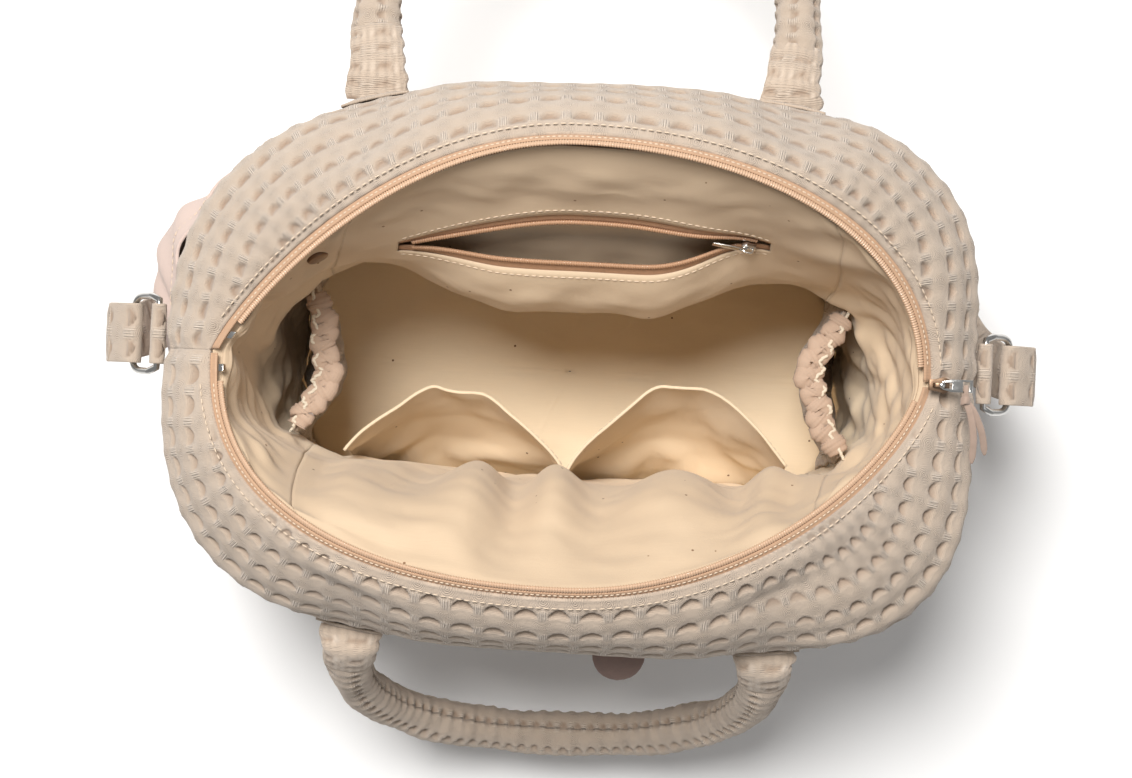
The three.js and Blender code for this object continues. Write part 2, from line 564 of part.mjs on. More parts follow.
// The wall's angle, on the back (s = 1) or the front (s = -1), where it is x across.
function angleAt(s, x, w) {
  let low = s > 0 ? 45 : 225;
  let high = low + 90;
  for (let i = 0; i < 30; i++) {
    const phi = (low + high) / 2;
    if (s * (outerWall(phi, w).x - x) > 0) low = phi;
    else high = phi;
  }
  return low;
}
const HINGE_OUT = 6; // the hinge line lies this far out from the seam's depth
for (const [name, s, lean] of [
  ["front_handle", -1, FRONT_LEAN],
  ["back_handle", 1, BACK_LEAN],
]) {
  const sections = [];
  for (let i = 0; i <= HANDLE_STEPS; i++) {
    const f = i / HANDLE_STEPS;
    const p = handleLine.getPointAt(f);
    const t = handleLine.getTangentAt(f);
    const side = new THREE.Vector3(0, 1, 0);
    const out = t.clone().cross(side);
    const grown = THREE.MathUtils.smoothstep(Math.min(f, 1 - f), 0, 0.1);
    const thick = mix(4.5, HANDLE_RADIUS, grown);
    const wide = mix(ROOT_HALF, HANDLE_RADIUS, grown);
    const ring = [];
    for (let k = 0; k < HANDLE_SIDES; k++) {
      const angle = (2 * Math.PI * k) / HANDLE_SIDES;
      const point = p.clone().addScaledVector(out, wide * Math.cos(angle));
      ring.push(point.addScaledVector(side, thick * Math.sin(angle)));
    }
    sections.push(ring);
  }
  const handle = loft(sections);
  handle.rotateX(radians(s * lean));
  add(name, moved(handle, 0, s * (SEAM_HALF_DEPTH + HINGE_OUT), HANDLE_Z), WAFFLE);
  for (const [where, x] of [
    ["left", -HANDLE_SPREAD],
    ["right", HANDLE_SPREAD],
  ]) {
    const middle = angleAt(s, x, ROOT_LEVELS[1]);
    const phis = [-4.4, 0, 4.4].map((d) => middle + d);
    add(name + "_root_" + where, skin(outerWall, phis, ROOT_LEVELS, -0.8 - ROOT_THICK, -0.8), WAFFLE);
  }
}

// ---------------------------------------------------------------- ring tabs, D-rings and strap loops
const RING_Y = 8;
const BAR_OUT = 5.8; // the bar's axis out from the seam
const BAR_Z = 230;
const WIRE = 2;
const RING_HALF_WIDTH = 21.5;
const RING_REACH = 22;
const RING_TILT = 40; // degrees below level

// A cloth loop round a bar along Y at the origin, with a flat plate leaving it along +X, flush with its top.
function loopAndPlate(inner, thick, reach, width) {
  const ringShape = new THREE.Shape();
  ringShape.absarc(0, 0, inner + thick, 0, 2 * Math.PI, false);
  const hole = new THREE.Path();
  hole.absarc(0, 0, inner, 0, 2 * Math.PI, true);
  ringShape.holes.push(hole);
  const ring = new THREE.ExtrudeGeometry(ringShape, { depth: width, bevelEnabled: false, curveSegments: 7 });
  moved(ring, 0, 0, -width / 2);
  ring.rotateX(Math.PI / 2);
  const plate = moved(block(reach, width, thick), reach / 2, 0, inner + thick / 2 + 0.2);
  return joinOrCut(ring, plate, "add");
}

// A D-ring with its straight bar along Y through the origin and its bow out along +X.
function dRing() {
  const line = [];
  for (const y of [-0.88, -0.3, 0.3, 0.88]) line.push([0, y * RING_HALF_WIDTH]);
  for (let i = 0; i <= 16; i++) {
    const angle = radians(mix(78, -78, i / 16));
    const c = Math.cos(angle);
    const s = Math.sin(angle);
    const k = radiusFactor(Math.abs(c), Math.abs(s), 6);
    line.push([3 + (RING_REACH - 3) * k * c, RING_HALF_WIDTH * k * s]);
  }
  const sections = line.map(([x, y], i) => {
    const before = line[(i + line.length - 1) % line.length];
    const after = line[(i + 1) % line.length];
    const t = new THREE.Vector3(after[0] - before[0], after[1] - before[1], 0).normalize();
    const out = new THREE.Vector3(t.y, -t.x, 0);
    const ring = [];
    for (let k = 0; k < 8; k++) {
      const angle = (Math.PI * k) / 4;
      ring.push(new THREE.Vector3(x, y, WIRE * Math.sin(angle)).addScaledVector(out, WIRE * Math.cos(angle)));
    }
    return ring;
  });
  return loft(sections, true);
}
const LOOP_INNER = 3.4;
const LOOP_THICK = 2;
const LOOP_PLATE = 14;
for (const [name, s] of [
  ["left", -1],
  ["right", 1],
]) {
  const barX = SEAM_HALF_WIDTH + BAR_OUT;
  const turned = (geometry, tilt) => {
    geometry.rotateY(radians(tilt));
    moved(geometry, barX, 0, BAR_Z);
    if (s < 0) geometry.rotateZ(Math.PI);
    return moved(geometry, 0, RING_Y, 0);
  };
  const tabLoop = loopAndPlate(2.7, 1.8, 28, STRAP_WIDTH - 2);
  add(name + "_ring_tab", turned(tabLoop, 90), WAFFLE);
  add(name + "_ring", turned(dRing(), RING_TILT), STEEL);
  const strapLoop = loopAndPlate(LOOP_INNER, LOOP_THICK, LOOP_PLATE, STRAP_WIDTH - 2);
  add(name + "_strap_loop", turned(moved(strapLoop, RING_REACH, 0, 0), RING_TILT), WAFFLE);
}

// ---------------------------------------------------------------- shoulder strap and its adjuster
const STRAP_BACK = 136; // the middle of the strap lies this far behind the bag's middle
const STRAP_ON_FLOOR = 2.2;
const tiltAlong = Math.cos(radians(RING_TILT));
const tiltDown = Math.sin(radians(RING_TILT));
const strapReach = RING_REACH + LOOP_PLATE + 0.8;
const strapTop = LOOP_INNER + 1.2;
const halfStrap = [
  [
    SEAM_HALF_WIDTH + BAR_OUT + strapReach * tiltAlong + strapTop * tiltDown,
    RING_Y,
    BAR_Z - strapReach * tiltDown + strapTop * tiltAlong,
  ],
  [268, RING_Y, 198],
  [269, RING_Y + 1, 165],
  [264, 14, 110],
  [257, 30, 52],
  [248, 56, 19],
  [236, 84, STRAP_ON_FLOOR + 2.6],
  [206, 112, STRAP_ON_FLOOR + 0.2],
  [156, 130, STRAP_ON_FLOOR],
  [108, STRAP_BACK, STRAP_ON_FLOOR],
  [60, STRAP_BACK, STRAP_ON_FLOOR],
];
const leftHalf = halfStrap.map(([x, y, z]) => new THREE.Vector3(-x, y, z));
const rightHalf = halfStrap.map(([x, y, z]) => new THREE.Vector3(x, y, z)).reverse();
const strapLine = new THREE.CatmullRomCurve3([...leftHalf, ...rightHalf], false, "centripetal");
const STRAP_STEPS = 84;
const strapSections = [];
for (let i = 0; i <= STRAP_STEPS; i++) {
  const f = i / STRAP_STEPS;
  const p = strapLine.getPointAt(f);
  const t = strapLine.getTangentAt(f);
  const flat = new THREE.Vector3(0, 0, 1).cross(t).normalize();
  // The strap twists from on edge to flat as it comes down.
  const lying = THREE.MathUtils.smoothstep(Math.min(f, 1 - f), 0.06, 0.22);
  const side = new THREE.Vector3(0, 1, 0).lerp(flat, lying);
  side.addScaledVector(t, -side.dot(t)).normalize();
  const up = t.clone().cross(side);
  const corners = [
    [-1, -1],
    [1, -1],
    [1, 1],
    [-1, 1],
  ];
  const half = [STRAP_WIDTH / 2 - 1, STRAP_THICK / 2 - 0.2];
  strapSections.push(
    corners.map(([a, b]) => p.clone().addScaledVector(side, a * half[0]).addScaledVector(up, b * half[1])),
  );
}
add("shoulder_strap", loft(strapSections), WAFFLE);

const ADJUSTER_X = 30;
const ADJUSTER_LENGTH = 28;
const railY = STRAP_WIDTH / 2 + 1;
const adjusterPieces = [-1, 1].map((s) => moved(block(ADJUSTER_LENGTH, 3, 6), 0, s * railY, 3.3));
for (const x of [-12.5, 0, 12.5]) adjusterPieces.push(moved(block(3, 2 * railY, 1.8), x, 0, 5.4));
const adjuster = adjusterPieces.reduce((made, piece) => joinOrCut(made, piece, "add"));
add("strap_adjuster", moved(adjuster, ADJUSTER_X, STRAP_BACK, 0), STEEL);

export default group;
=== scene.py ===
"""A soft baby-care bag in waffle cotton, standing open on a pale floor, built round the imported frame.

The walls, the lining and the pockets are sheets over two stacks of rounded outlines. Metres, in the frame's
axes: +X to the zip's open end, +Y to the back, +Z up, and the origin in the middle of the underside.
"""
import math

import bmesh
import bpy
import numpy as np
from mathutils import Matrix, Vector


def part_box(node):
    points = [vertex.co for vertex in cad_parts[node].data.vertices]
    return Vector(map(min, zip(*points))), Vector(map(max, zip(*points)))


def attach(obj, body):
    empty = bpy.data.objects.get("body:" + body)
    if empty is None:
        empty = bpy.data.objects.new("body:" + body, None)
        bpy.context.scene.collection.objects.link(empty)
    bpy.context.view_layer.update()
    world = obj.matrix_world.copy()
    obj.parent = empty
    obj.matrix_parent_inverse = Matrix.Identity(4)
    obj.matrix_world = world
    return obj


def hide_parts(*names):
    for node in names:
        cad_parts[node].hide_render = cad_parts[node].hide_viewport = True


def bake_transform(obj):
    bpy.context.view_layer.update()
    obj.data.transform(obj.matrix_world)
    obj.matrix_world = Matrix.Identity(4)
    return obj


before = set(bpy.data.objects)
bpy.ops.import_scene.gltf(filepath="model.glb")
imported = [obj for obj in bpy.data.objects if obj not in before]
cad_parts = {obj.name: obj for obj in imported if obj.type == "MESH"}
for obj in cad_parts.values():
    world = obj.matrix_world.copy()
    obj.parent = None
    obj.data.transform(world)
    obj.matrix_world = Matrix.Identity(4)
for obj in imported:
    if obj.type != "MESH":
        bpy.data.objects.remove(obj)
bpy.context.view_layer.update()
MM = 0.001

# ------------------------------------------------------------------ camera
LENS_MM = 65.0
EYE = (-2 * MM, -12 * MM, 1385 * MM)
ROLL_DEG = 2.8


def make_camera():
    """A camera straight above the bag, turned a little about its own axis."""
    data = bpy.data.cameras.new("camera")
    data.lens = LENS_MM
    data.sensor_width = 36
    camera = bpy.data.objects.new("camera", data)
    camera.location = EYE
    camera.rotation_euler = (0, 0, math.radians(ROLL_DEG))
    bpy.context.collection.objects.link(camera)
    bpy.context.scene.camera = camera


make_camera()

# ------------------------------------------------------------------ driving dimensions
CELL = 17.5 * MM  # from one waffle cell to the next
SHELL = 3.5 * MM
HANDLE_SPREAD = 118 * MM
LINING = 0.8 * MM
FINE = 1.15 * MM  # mesh spacing where the waffle's relief is modelled

strip_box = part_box("front_zip_strip")
panel_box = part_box("front_panel")
base_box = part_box("base_panel")
SEAM_HALF_WIDTH = strip_box[1][0] / MM
SEAM_HALF_DEPTH = -strip_box[0][1] / MM
MOUTH_Z = strip_box[1][2] / MM
SEAM_Z = panel_box[1][2] / MM
BASE_HALF_WIDTH = base_box[1][0] / MM - 2
BASE_HALF_DEPTH = base_box[1][1] / MM - 2

# A station, in millimetres: [w, half width, half depth, height over the middle, height over the ends] and the
# squareness of its back right, back left, front left and front right corners.
OUTER = np.array([
    [0, BASE_HALF_WIDTH, BASE_HALF_DEPTH, 4, 4, 5.5, 5.5, 5.5, 5.5],
    [0.14, 195, 103, 26, 26, 5, 5, 5, 5],
    [0.55, 220, 144, 125, 125, 4.2, 3.6, 4, 4.2],
    [1, SEAM_HALF_WIDTH, SEAM_HALF_DEPTH, SEAM_Z, SEAM_Z - 7, 3.5, 2.6, 3.2, 4],
    [1.35, 223, 154, 266, 245, 3, 2.2, 2.9, 3],
    [1.7, 213, 143, 294, 258, 2.5, 1.6, 2.5, 2],
    [2, 200, 125, MOUTH_Z, MOUTH_Z - 50, 2.1, 1.15, 2.3, 1.4],
])
INNER = np.array([
    [0, 178, 84, 9, 9, 5, 5, 5, 5],
    [0.22, 182, 77, 66, 64, 4.6, 4.6, 4.6, 4.6],
    [0.45, 184, 71, 134, 130, 4, 3.4, 4, 4],
    [0.65, 187, 71, 192, 184, 3.4, 2.6, 3.4, 3.4],
    [0.8, 190, 83, 240, 217, 2.8, 2, 2.8, 2.5],
    [0.92, 192.5, 104, 284, 243, 2.4, 1.5, 2.4, 1.8],
    [1, 193, 118, 305, 256, 2.1, 1.15, 2.3, 1.4],
])
RISE_POWER = 1.4  # how late the zip rises on its way from the ends to the middle


# ------------------------------------------------------------------ small mathematics
def smooth(low, high, x):
    t = np.clip((x - low) / (high - low), 0, 1)
    return t * t * (3 - 2 * t)


def unit(v):
    return v / np.maximum(np.linalg.norm(v, axis=-1, keepdims=True), 1e-12)


def waves(points, size, seed, count=14):
    """Smooth noise of about unit height whose lumps are about size across."""
    chance = np.random.RandomState(seed)
    total = np.zeros(points.shape[:-1])
    for _ in range(count):
        way = chance.normal(size=points.shape[-1])
        way *= 2 * math.pi / (size * (0.6 + chance.rand())) / np.linalg.norm(way)
        total += np.sin(points @ way + chance.rand() * 2 * math.pi)
    return total / math.sqrt(count)


def station_at(table, w):
    """The station at each height w, on Catmull-Rom curves through the table's columns."""
    i = np.clip(np.searchsorted(table[:, 0], w), 1, len(table) - 1)
    last = len(table) - 1
    p0, p1, p2, p3 = (table[np.clip(i + k, 0, last)] for k in (-2, -1, 0, 1))
    span = (p2[..., :1] - p1[..., :1])
    t = ((w - p1[..., 0]) / span[..., 0])[..., None]
    m1 = (p2 - p0) / (p2[..., :1] - p0[..., :1]) * span
    m2 = (p3 - p1) / (p3[..., :1] - p1[..., :1]) * span
    t2, t3 = t * t, t * t * t
    return (2 * t3 - 3 * t2 + 1) * p1 + (t3 - 2 * t2 + t) * m1 + (3 * t2 - 2 * t3) * p2 + (t3 - t2) * m2


def reach(c, s, n):
    """How far out the outline |x|^max(n, 2) + |y|^n = 1 lies along (c, s), by halving."""
    near, far = np.full(n.shape, 0.7), np.full(n.shape, 1.5)
    for _ in range(32):
        k = (near + far) / 2
        outside = (k * c) ** np.maximum(n, 2) + (k * s) ** n > 1
        far = np.where(outside, k, far)
        near = np.where(outside, near, k)
    return near


def wall_point(table, phi, w):
    """The wall's point at angle phi in degrees, 0 at the right and 90 at the back, and height w."""
    phi, w = np.broadcast_arrays(np.asarray(phi, float), np.asarray(w, float))
    s = station_at(table, w)
    c, d = np.cos(np.radians(phi)), np.sin(np.radians(phi))
    corner = (np.floor((phi % 360) / 90).astype(int) % 4 + 5)[..., None]
    n = np.take_along_axis(s, corner, -1)[..., 0]
    k = reach(abs(c), abs(d), n)
    lift = np.minimum(1, abs(k * d)) ** RISE_POWER
    z = s[..., 4] + (s[..., 3] - s[..., 4]) * lift
    return np.stack([s[..., 1] * k * c, s[..., 2] * k * d, z], -1) * MM


def inward(table, phi, w):
    """The wall's unit normal, towards the inside of the bag."""
    d_phi = wall_point(table, phi + 0.6, w) - wall_point(table, phi - 0.6, w)
    d_w = wall_point(table, phi, w + 0.02) - wall_point(table, phi, w - 0.02)
    return unit(np.cross(d_w, d_phi))


def even_angles(table, w, start, end, spacing):
    """Angles from start to end, evenly spaced along the wall at height w."""
    fine = np.linspace(start, end, 2000)
    return evenly(fine, lengths(wall_point(table, fine, w)), spacing)


def even_heights(table, phi, start, end, spacing):
    """Heights from start to end, evenly spaced along the wall at angle phi."""
    fine = np.linspace(start, end, 800)
    return evenly(fine, lengths(wall_point(table, phi, fine)), spacing)


def evenly(values, along, spacing):
    """Values picked at even spacing, from many and how far along each one lies."""
    count = max(2, int(round(along[-1] / spacing)) + 1)
    return np.interp(np.linspace(0, along[-1], count), along, values)


def circle(count):
    """Angles evenly round a circle, in radians."""
    return np.linspace(0, 2 * math.pi, count, endpoint=False)


def lengths(line):
    """How far along a line of points each one is."""
    steps = np.linalg.norm(np.diff(line, axis=0), axis=-1)
    return np.concatenate([[0], np.cumsum(steps)])


def normals_of(grid):
    across = np.gradient(grid, axis=0)
    up = np.gradient(grid, axis=1)
    return unit(np.cross(across, up))


# ------------------------------------------------------------------ meshes from grids
def mesh_object(name, points, faces, uv=None, marks=None):
    """A smooth mesh piece; uv is in metres of cloth, and marks are named numbers at the points."""
    mesh = bpy.data.meshes.new(name)
    mesh.from_pydata(points.tolist(), [], faces if isinstance(faces, list) else faces.tolist())
    if uv is not None:
        layer = mesh.uv_layers.new(name="cloth")
        corner = np.empty(len(mesh.loops), int)
        mesh.loops.foreach_get("vertex_index", corner)
        layer.data.foreach_set("uv", uv[corner].astype(np.float32).ravel())
    for key, values in (marks or {}).items():
        attribute = mesh.attributes.new(key, "FLOAT", "POINT")
        attribute.data.foreach_set("value", np.asarray(values, np.float32).ravel())
    mesh.polygons.foreach_set("use_smooth", np.ones(len(mesh.polygons), bool))
    mesh.update()
    obj = bpy.data.objects.new(name, mesh)
    bpy.context.collection.objects.link(obj)
    return obj


def grid_faces(m, n, start=0, closed=False):
    """Quads over an m by n lattice, whose first direction may close on itself."""
    i = np.arange(m if closed else m - 1)[:, None]
    j = np.arange(n - 1)[None, :]
    a = i * n + j
    b = (i + 1) % m * n + j
    return np.stack([a, b, b + 1, a + 1], -1).reshape(-1, 4) + start


def facing_out(points, faces):
    """The same quads, turned over if they hold their volume inside out."""
    a, b, c, d = (points[faces[:, k]] for k in range(4))
    volume = (a * np.cross(b, c)).sum() + (a * np.cross(c, d)).sum()
    return faces[:, ::-1] if volume < 0 else faces


def shell_object(name, outer, inner, uv, marks=None, closed=False, keep=None):
    """A sheet with two faces and a rim, from its outer and inner lattices, both (m, n, 3).

    Only the quads that keep marks are made, which leaves holes in the sheet.
    """
    m, n = outer.shape[:2]
    kept = np.ones((m if closed else m - 1, n - 1), bool) if keep is None else keep
    flat = kept.ravel()
    front = grid_faces(m, n, 0, closed)[flat]
    back = grid_faces(m, n, m * n, closed)[flat][:, ::-1]
    edges = np.concatenate([front[:, [0, 1]], front[:, [1, 2]], front[:, [2, 3]], front[:, [3, 0]]])
    code = np.sort(edges, axis=1)
    code = code[:, 0] * (m * n) + code[:, 1]
    _, first, uses = np.unique(code, return_index=True, return_counts=True)
    rim = edges[first[uses == 1]]
    sides = np.stack([rim[:, 1], rim[:, 0], rim[:, 0] + m * n, rim[:, 1] + m * n], -1)
    points = np.concatenate([outer.reshape(-1, 3), inner.reshape(-1, 3)])
    faces = facing_out(points, np.concatenate([front, back, sides]))
    used = np.zeros(len(points), bool)
    used[faces.ravel()] = True
    place = np.cumsum(used) - 1
    both = np.concatenate([uv.reshape(-1, 2)] * 2)[used]
    doubled = {k: np.concatenate([np.ravel(v)] * 2)[used] for k, v in (marks or {}).items()}
    return mesh_object(name, points[used], place[faces], both, doubled)


def quilt_object(name, outer, inner, uv, marks, skip=4):
    """A sheet whose outer face is finely modelled and whose hidden face has every skip-th point."""
    m, n = outer.shape[:2]
    plain = inner[::skip, ::skip]
    p, q = plain.shape[:2]
    start = m * n
    faces = grid_faces(m, n).tolist() + grid_faces(p, q, start)[:, ::-1].tolist()
    for a in range(p - 1):
        low = [i * n for i in range(a * skip, (a + 1) * skip + 1)]
        high = [i + n - 1 for i in low]
        faces.append(low[::-1] + [start + a * q, start + (a + 1) * q])
        faces.append(high + [start + (a + 2) * q - 1, start + (a + 1) * q - 1])
    for b in range(q - 1):
        first = list(range(b * skip, (b + 1) * skip + 1))
        last = [(m - 1) * n + j for j in first]
        faces.append(first + [start + b + 1, start + b])
        faces.append(last[::-1] + [start + (p - 1) * q + b, start + (p - 1) * q + b + 1])
    if (normals_of(outer) * (outer - inner)).sum() < 0:
        faces = [f[::-1] for f in faces]
    points = np.concatenate([outer.reshape(-1, 3), plain.reshape(-1, 3)])
    both = np.concatenate([uv.reshape(-1, 2), uv[::skip, ::skip].reshape(-1, 2)])
    doubled = {k: np.concatenate([np.ravel(v), 0 * np.ravel(v[::skip, ::skip])]) for k, v in marks.items()}
    return mesh_object(name, points, faces, both, doubled)


def tube_object(name, rings, uv=None, marks=None, closed=False):
    """A tube through rings of points, (m, n, 3), with its ends filled unless it closes on itself."""
    m, n = rings.shape[:2]
    faces = grid_faces(n, m, 0, True)
    i, j = faces // m, faces % m
    faces = j * n + i
    if closed:
        k = np.arange(n)
        seam = np.stack([(m - 1) * n + k, (m - 1) * n + (k + 1) % n, (k + 1) % n, k], -1)
        faces = np.concatenate([faces, seam])
    points = rings.reshape(-1, 3)
    flat_uv = None if uv is None else uv.reshape(-1, 2)
    obj = mesh_object(name, points, facing_out(points, faces), flat_uv, marks)
    if not closed:
        cap_ends(obj)
    return obj


def cap_ends(obj):
    """Fills the open ends of a tube."""
    work = bmesh.new()
    work.from_mesh(obj.data)
    bmesh.ops.holes_fill(work, edges=[e for e in work.edges if e.is_boundary], sides=0)
    bmesh.ops.recalc_face_normals(work, faces=work.faces)
    work.to_mesh(obj.data)
    work.free()


# ------------------------------------------------------------------ the waffle cloth
DIMPLE_HALF = (0.35, 0.17)  # across and up, in cells
DIMPLE_BOW = (0.13, 0.33, 0.04)  # how much its ends droop, how far out, and how high its middle is, in cells
PUFF, DIMPLE, GATHER = 0.8, 2.6, 0.3  # how far each stands out or in, in millimetres


def waffle(uv, pitch_u=CELL, pitch_v=CELL):
    """The weave's swell, low beside a dimple and high on a puff, how deep the dimple is, and where the
    gathered threads between two dimples are."""
    a = uv[..., 0] / pitch_u
    b = uv[..., 1] / pitch_v
    ca, cb = np.cos(2 * math.pi * a), np.cos(2 * math.pi * b)
    swell = 0.25 - 0.425 * ca - 0.575 * cb - 0.25 * ca * cb
    da, db = a - np.round(a), b - np.round(b)
    droop, reach_out, drop = DIMPLE_BOW
    bowed = db + droop * (da / reach_out) ** 2 - drop
    oval = np.sqrt((da / DIMPLE_HALF[0]) ** 2 + (bowed / DIMPLE_HALF[1]) ** 2)
    dimple = (1 - smooth(0.66, 1.08, oval)) * (0.72 + 2.8 * bowed).clip(0.2, 1.2)
    swell = swell + 0.45 * np.exp(-(((oval - 1.2) / 0.17) ** 2))
    across = 0.5 - abs(da)
    gather = (1 - smooth(0.08, 0.19, across)) * (1 - smooth(0.1, 0.24, abs(db)))
    return swell, dimple, gather


def relief(uv, height=1.0, **pitch):
    """How far the waffle stands out at each point, in metres, and its marks for the material."""
    swell, dimple, gather = waffle(uv, **pitch)
    out = (PUFF * swell - DIMPLE * dimple + GATHER * gather) * MM * height
    return out, {"dimple": dimple, "gather": gather}


def from_edges(shape, spacing_u, spacing_v, sides=(1, 1, 1, 1)):
    """Each lattice point's distance to the nearest sewn edge, of its start, end, foot and top."""
    m, n = shape
    i = np.arange(m)[:, None] * spacing_u
    j = np.arange(n)[None, :] * spacing_v
    near = np.full(shape, 1.0)
    for used, gap in zip(sides, (i, i[::-1], j, j[:, ::-1])):
        if used:
            near = np.minimum(near, gap)
    return near


def fours(values):
    """The same span of values, with four steps to each step of the plain hidden face."""
    count = int(math.ceil((len(values) - 1) / 4)) * 4 + 1
    return np.interp(np.linspace(0, len(values) - 1, count), np.arange(len(values)), values)


SEWN_RISE = 7 * MM  # how far from a sewn edge the waffle is at its full height
SEWN_PULL = 2.4 * MM  # how far a sewn edge is pulled in
PRESSED_IN = 4.6 * MM  # how far the zip strips are dented beside the handles' ends
PRESSED_REACH = 27 * MM  # how far to either side that dent fades


def waffle_wall(name, start, end, low, high, seed):
    """A padded waffle piece of the outer wall, from angle start to end and height low to high.

    u and v follow the cloth across and up from the seam between the walls and the zip strips.
    """
    above_seam = low == 1
    phi = fours(even_angles(OUTER, 1.0, start, end, FINE))
    w = fours(even_heights(OUTER, 270 if name.startswith("front") else 90, low, high, FINE))
    grid = wall_point(OUTER, phi[:, None], w[None, :])
    seam = wall_point(OUTER, phi, np.ones_like(phi))
    tangent = unit(np.gradient(seam, axis=0) * np.array([1, 1, 0]))
    middle = np.interp((start + end) / 2, phi, lengths(seam))
    from_seam = grid - seam[:, None]
    u = lengths(seam)[:, None] - middle + (from_seam * tangent[:, None]).sum(-1)
    steps = np.diff(grid, axis=1)
    steps = steps - (steps * tangent[:, None]).sum(-1, keepdims=True) * tangent[:, None]
    rows = np.cumsum(np.linalg.norm(steps, axis=-1), axis=1)
    v = np.concatenate([np.zeros((len(phi), 1)), rows], 1)
    if not above_seam:
        v = v - v[:, -1:]
    way_up = -1 if name.startswith("back") else 1
    uv = np.stack([u, way_up * (v + CELL * 0.5)], -1)
    uv += 0.8 * MM * np.stack([waves(grid, 0.05, seed), waves(grid, 0.05, seed + 7)], -1)
    out = -inward(OUTER, phi[:, None], w[None, :])
    height, marks = relief(uv)
    edge = from_edges(grid.shape[:2], FINE, FINE)
    height *= smooth(0, SEWN_RISE, edge)
    pulled = -SEWN_PULL * (1 - smooth(0, 9 * MM, edge))
    soft = 1.5 * MM * waves(grid, 0.11, seed + 3) * smooth(0, 30 * MM, edge)
    if above_seam:
        beside = np.exp(-(((abs(grid[..., 0]) - HANDLE_SPREAD) / PRESSED_REACH) ** 2))
        pressed = beside * smooth(1.0, 1.1, w) * (1 - smooth(1.7, 1.88, w))
        height *= 1 - 0.7 * pressed
        soft = soft - PRESSED_IN * pressed
    outer = grid + out * (height + pulled + soft)[..., None]
    inner = grid - out * SHELL + out * np.minimum(soft + pulled, 0)[..., None]
    for key in marks:
        marks[key] = marks[key] * smooth(0, 5 * MM, edge)
    piece = quilt_object(name + "_cloth", outer, inner, uv, marks)
    finish_piece(piece, "bag", [name], WAFFLE_MATERIAL)


def finish_piece(piece, body, nodes, material):
    """Gives a piece its look, hides the frame's nodes that it stands for, and attaches it to its body; a
    piece given a blend from one body to another is only fixed where it lies.
    """
    piece.data.materials.clear()
    piece.data.materials.append(material)
    if isinstance(body, str):
        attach(piece, body)
    else:
        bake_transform(piece)
    if nodes:
        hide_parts(*nodes)


# ------------------------------------------------------------------ materials
class Nodes:
    """A material's node tree, with a short way to add and join nodes."""

    def __init__(self, name, **settings):
        self.material = bpy.data.materials.new(name)
        self.material.use_nodes = True
        self.tree = self.material.node_tree
        self.shader = self.tree.nodes["Principled BSDF"]
        for key, value in settings.items():
            self.shader.inputs[key.replace("_", " ")].default_value = value

    def add(self, kind, inputs=None, **settings):
        node = self.tree.nodes.new("ShaderNode" + kind)
        for key, value in settings.items():
            setattr(node, key, value)
        for key, value in (inputs or {}).items():
            self.put(value, node.inputs[key])
        return node

    def put(self, value, socket):
        if isinstance(value, bpy.types.NodeSocket):
            self.tree.links.new(value, socket)
        else:
            socket.default_value = value

    def math(self, operation, a, b=0.0, c=0.5, clamp=False):
        node = self.add("Math", {0: a, 1: b, 2: c}, operation=operation, use_clamp=clamp)
        return node.outputs[0]

    def mark(self, name):
        return self.add("Attribute", attribute_name=name).outputs["Fac"]

    def mix(self, factor, a, b):
        node = self.add("Mix", data_type="RGBA")
        self.put(factor, node.inputs[0])
        self.put(a, node.inputs[6])
        self.put(b, node.inputs[7])
        return node.outputs[2]

    def mottle(self, factor, a, b):
        """Colours the surface between two tones."""
        self.put(self.mix(factor, a, b), self.shader.inputs["Base Color"])

    def noise(self, scale, detail=2.0, roughness=0.5):
        inputs = {"Scale": scale, "Detail": detail, "Roughness": roughness, "Vector": self.place()}
        return self.add("TexNoise", inputs).outputs["Fac"]

    def place(self):
        return self.add("TexCoord").outputs["Object"]

    def cloth(self):
        return self.add("TexCoord").outputs["UV"]

    def ribs(self, axis, pitch):
        """Rounded ribs that repeat every pitch metres along X or Y of the cloth."""
        parts = self.add("SeparateXYZ", {0: self.cloth()})
        turn = self.math("MULTIPLY", parts.outputs[axis], 2 * math.pi / pitch)
        return self.math("MULTIPLY_ADD", self.math("SINE", turn), 0.5)

    def bump(self, height, distance, strength=1.0, normal=None):
        node = self.add("Bump", {"Height": height, "Distance": distance, "Strength": strength})
        if normal is not None:
            self.put(normal, node.inputs["Normal"])
        return node.outputs["Normal"]


def color(r, g, b):
    return (r, g, b, 1.0)


def darker(tone, share):
    return color(*(c * share for c in tone[:3]))


def weave_height(n, pitch):
    """Threads over and under one another, pitch metres apart."""
    ways = [n.ribs(axis, pitch) for axis in (0, 1)]
    return n.math("MULTIPLY", ways[0], ways[1])


def puff_rings(n):
    """Fine rings of thread round the middle of each puff, fading towards its edge."""
    parts = n.add("SeparateXYZ", {0: n.cloth()})
    squares = []
    for axis in (0, 1):
        place = n.math("FRACT", n.math("MULTIPLY", parts.outputs[axis], 1 / CELL))
        squares.append(n.math("POWER", n.math("ABSOLUTE", n.math("SUBTRACT", place, 0.5)), 2.0))
    away = n.math("SQRT", n.math("ADD", squares[0], squares[1]))
    turn = n.math("MULTIPLY", away, 2 * math.pi * CELL / (1.05 * MM))
    ring = n.math("MULTIPLY_ADD", n.math("SINE", turn), 0.5)
    fade = n.math("SUBTRACT", 1.0, n.math("MULTIPLY", away, 2.1), clamp=True)
    return n.math("MULTIPLY", ring, fade)


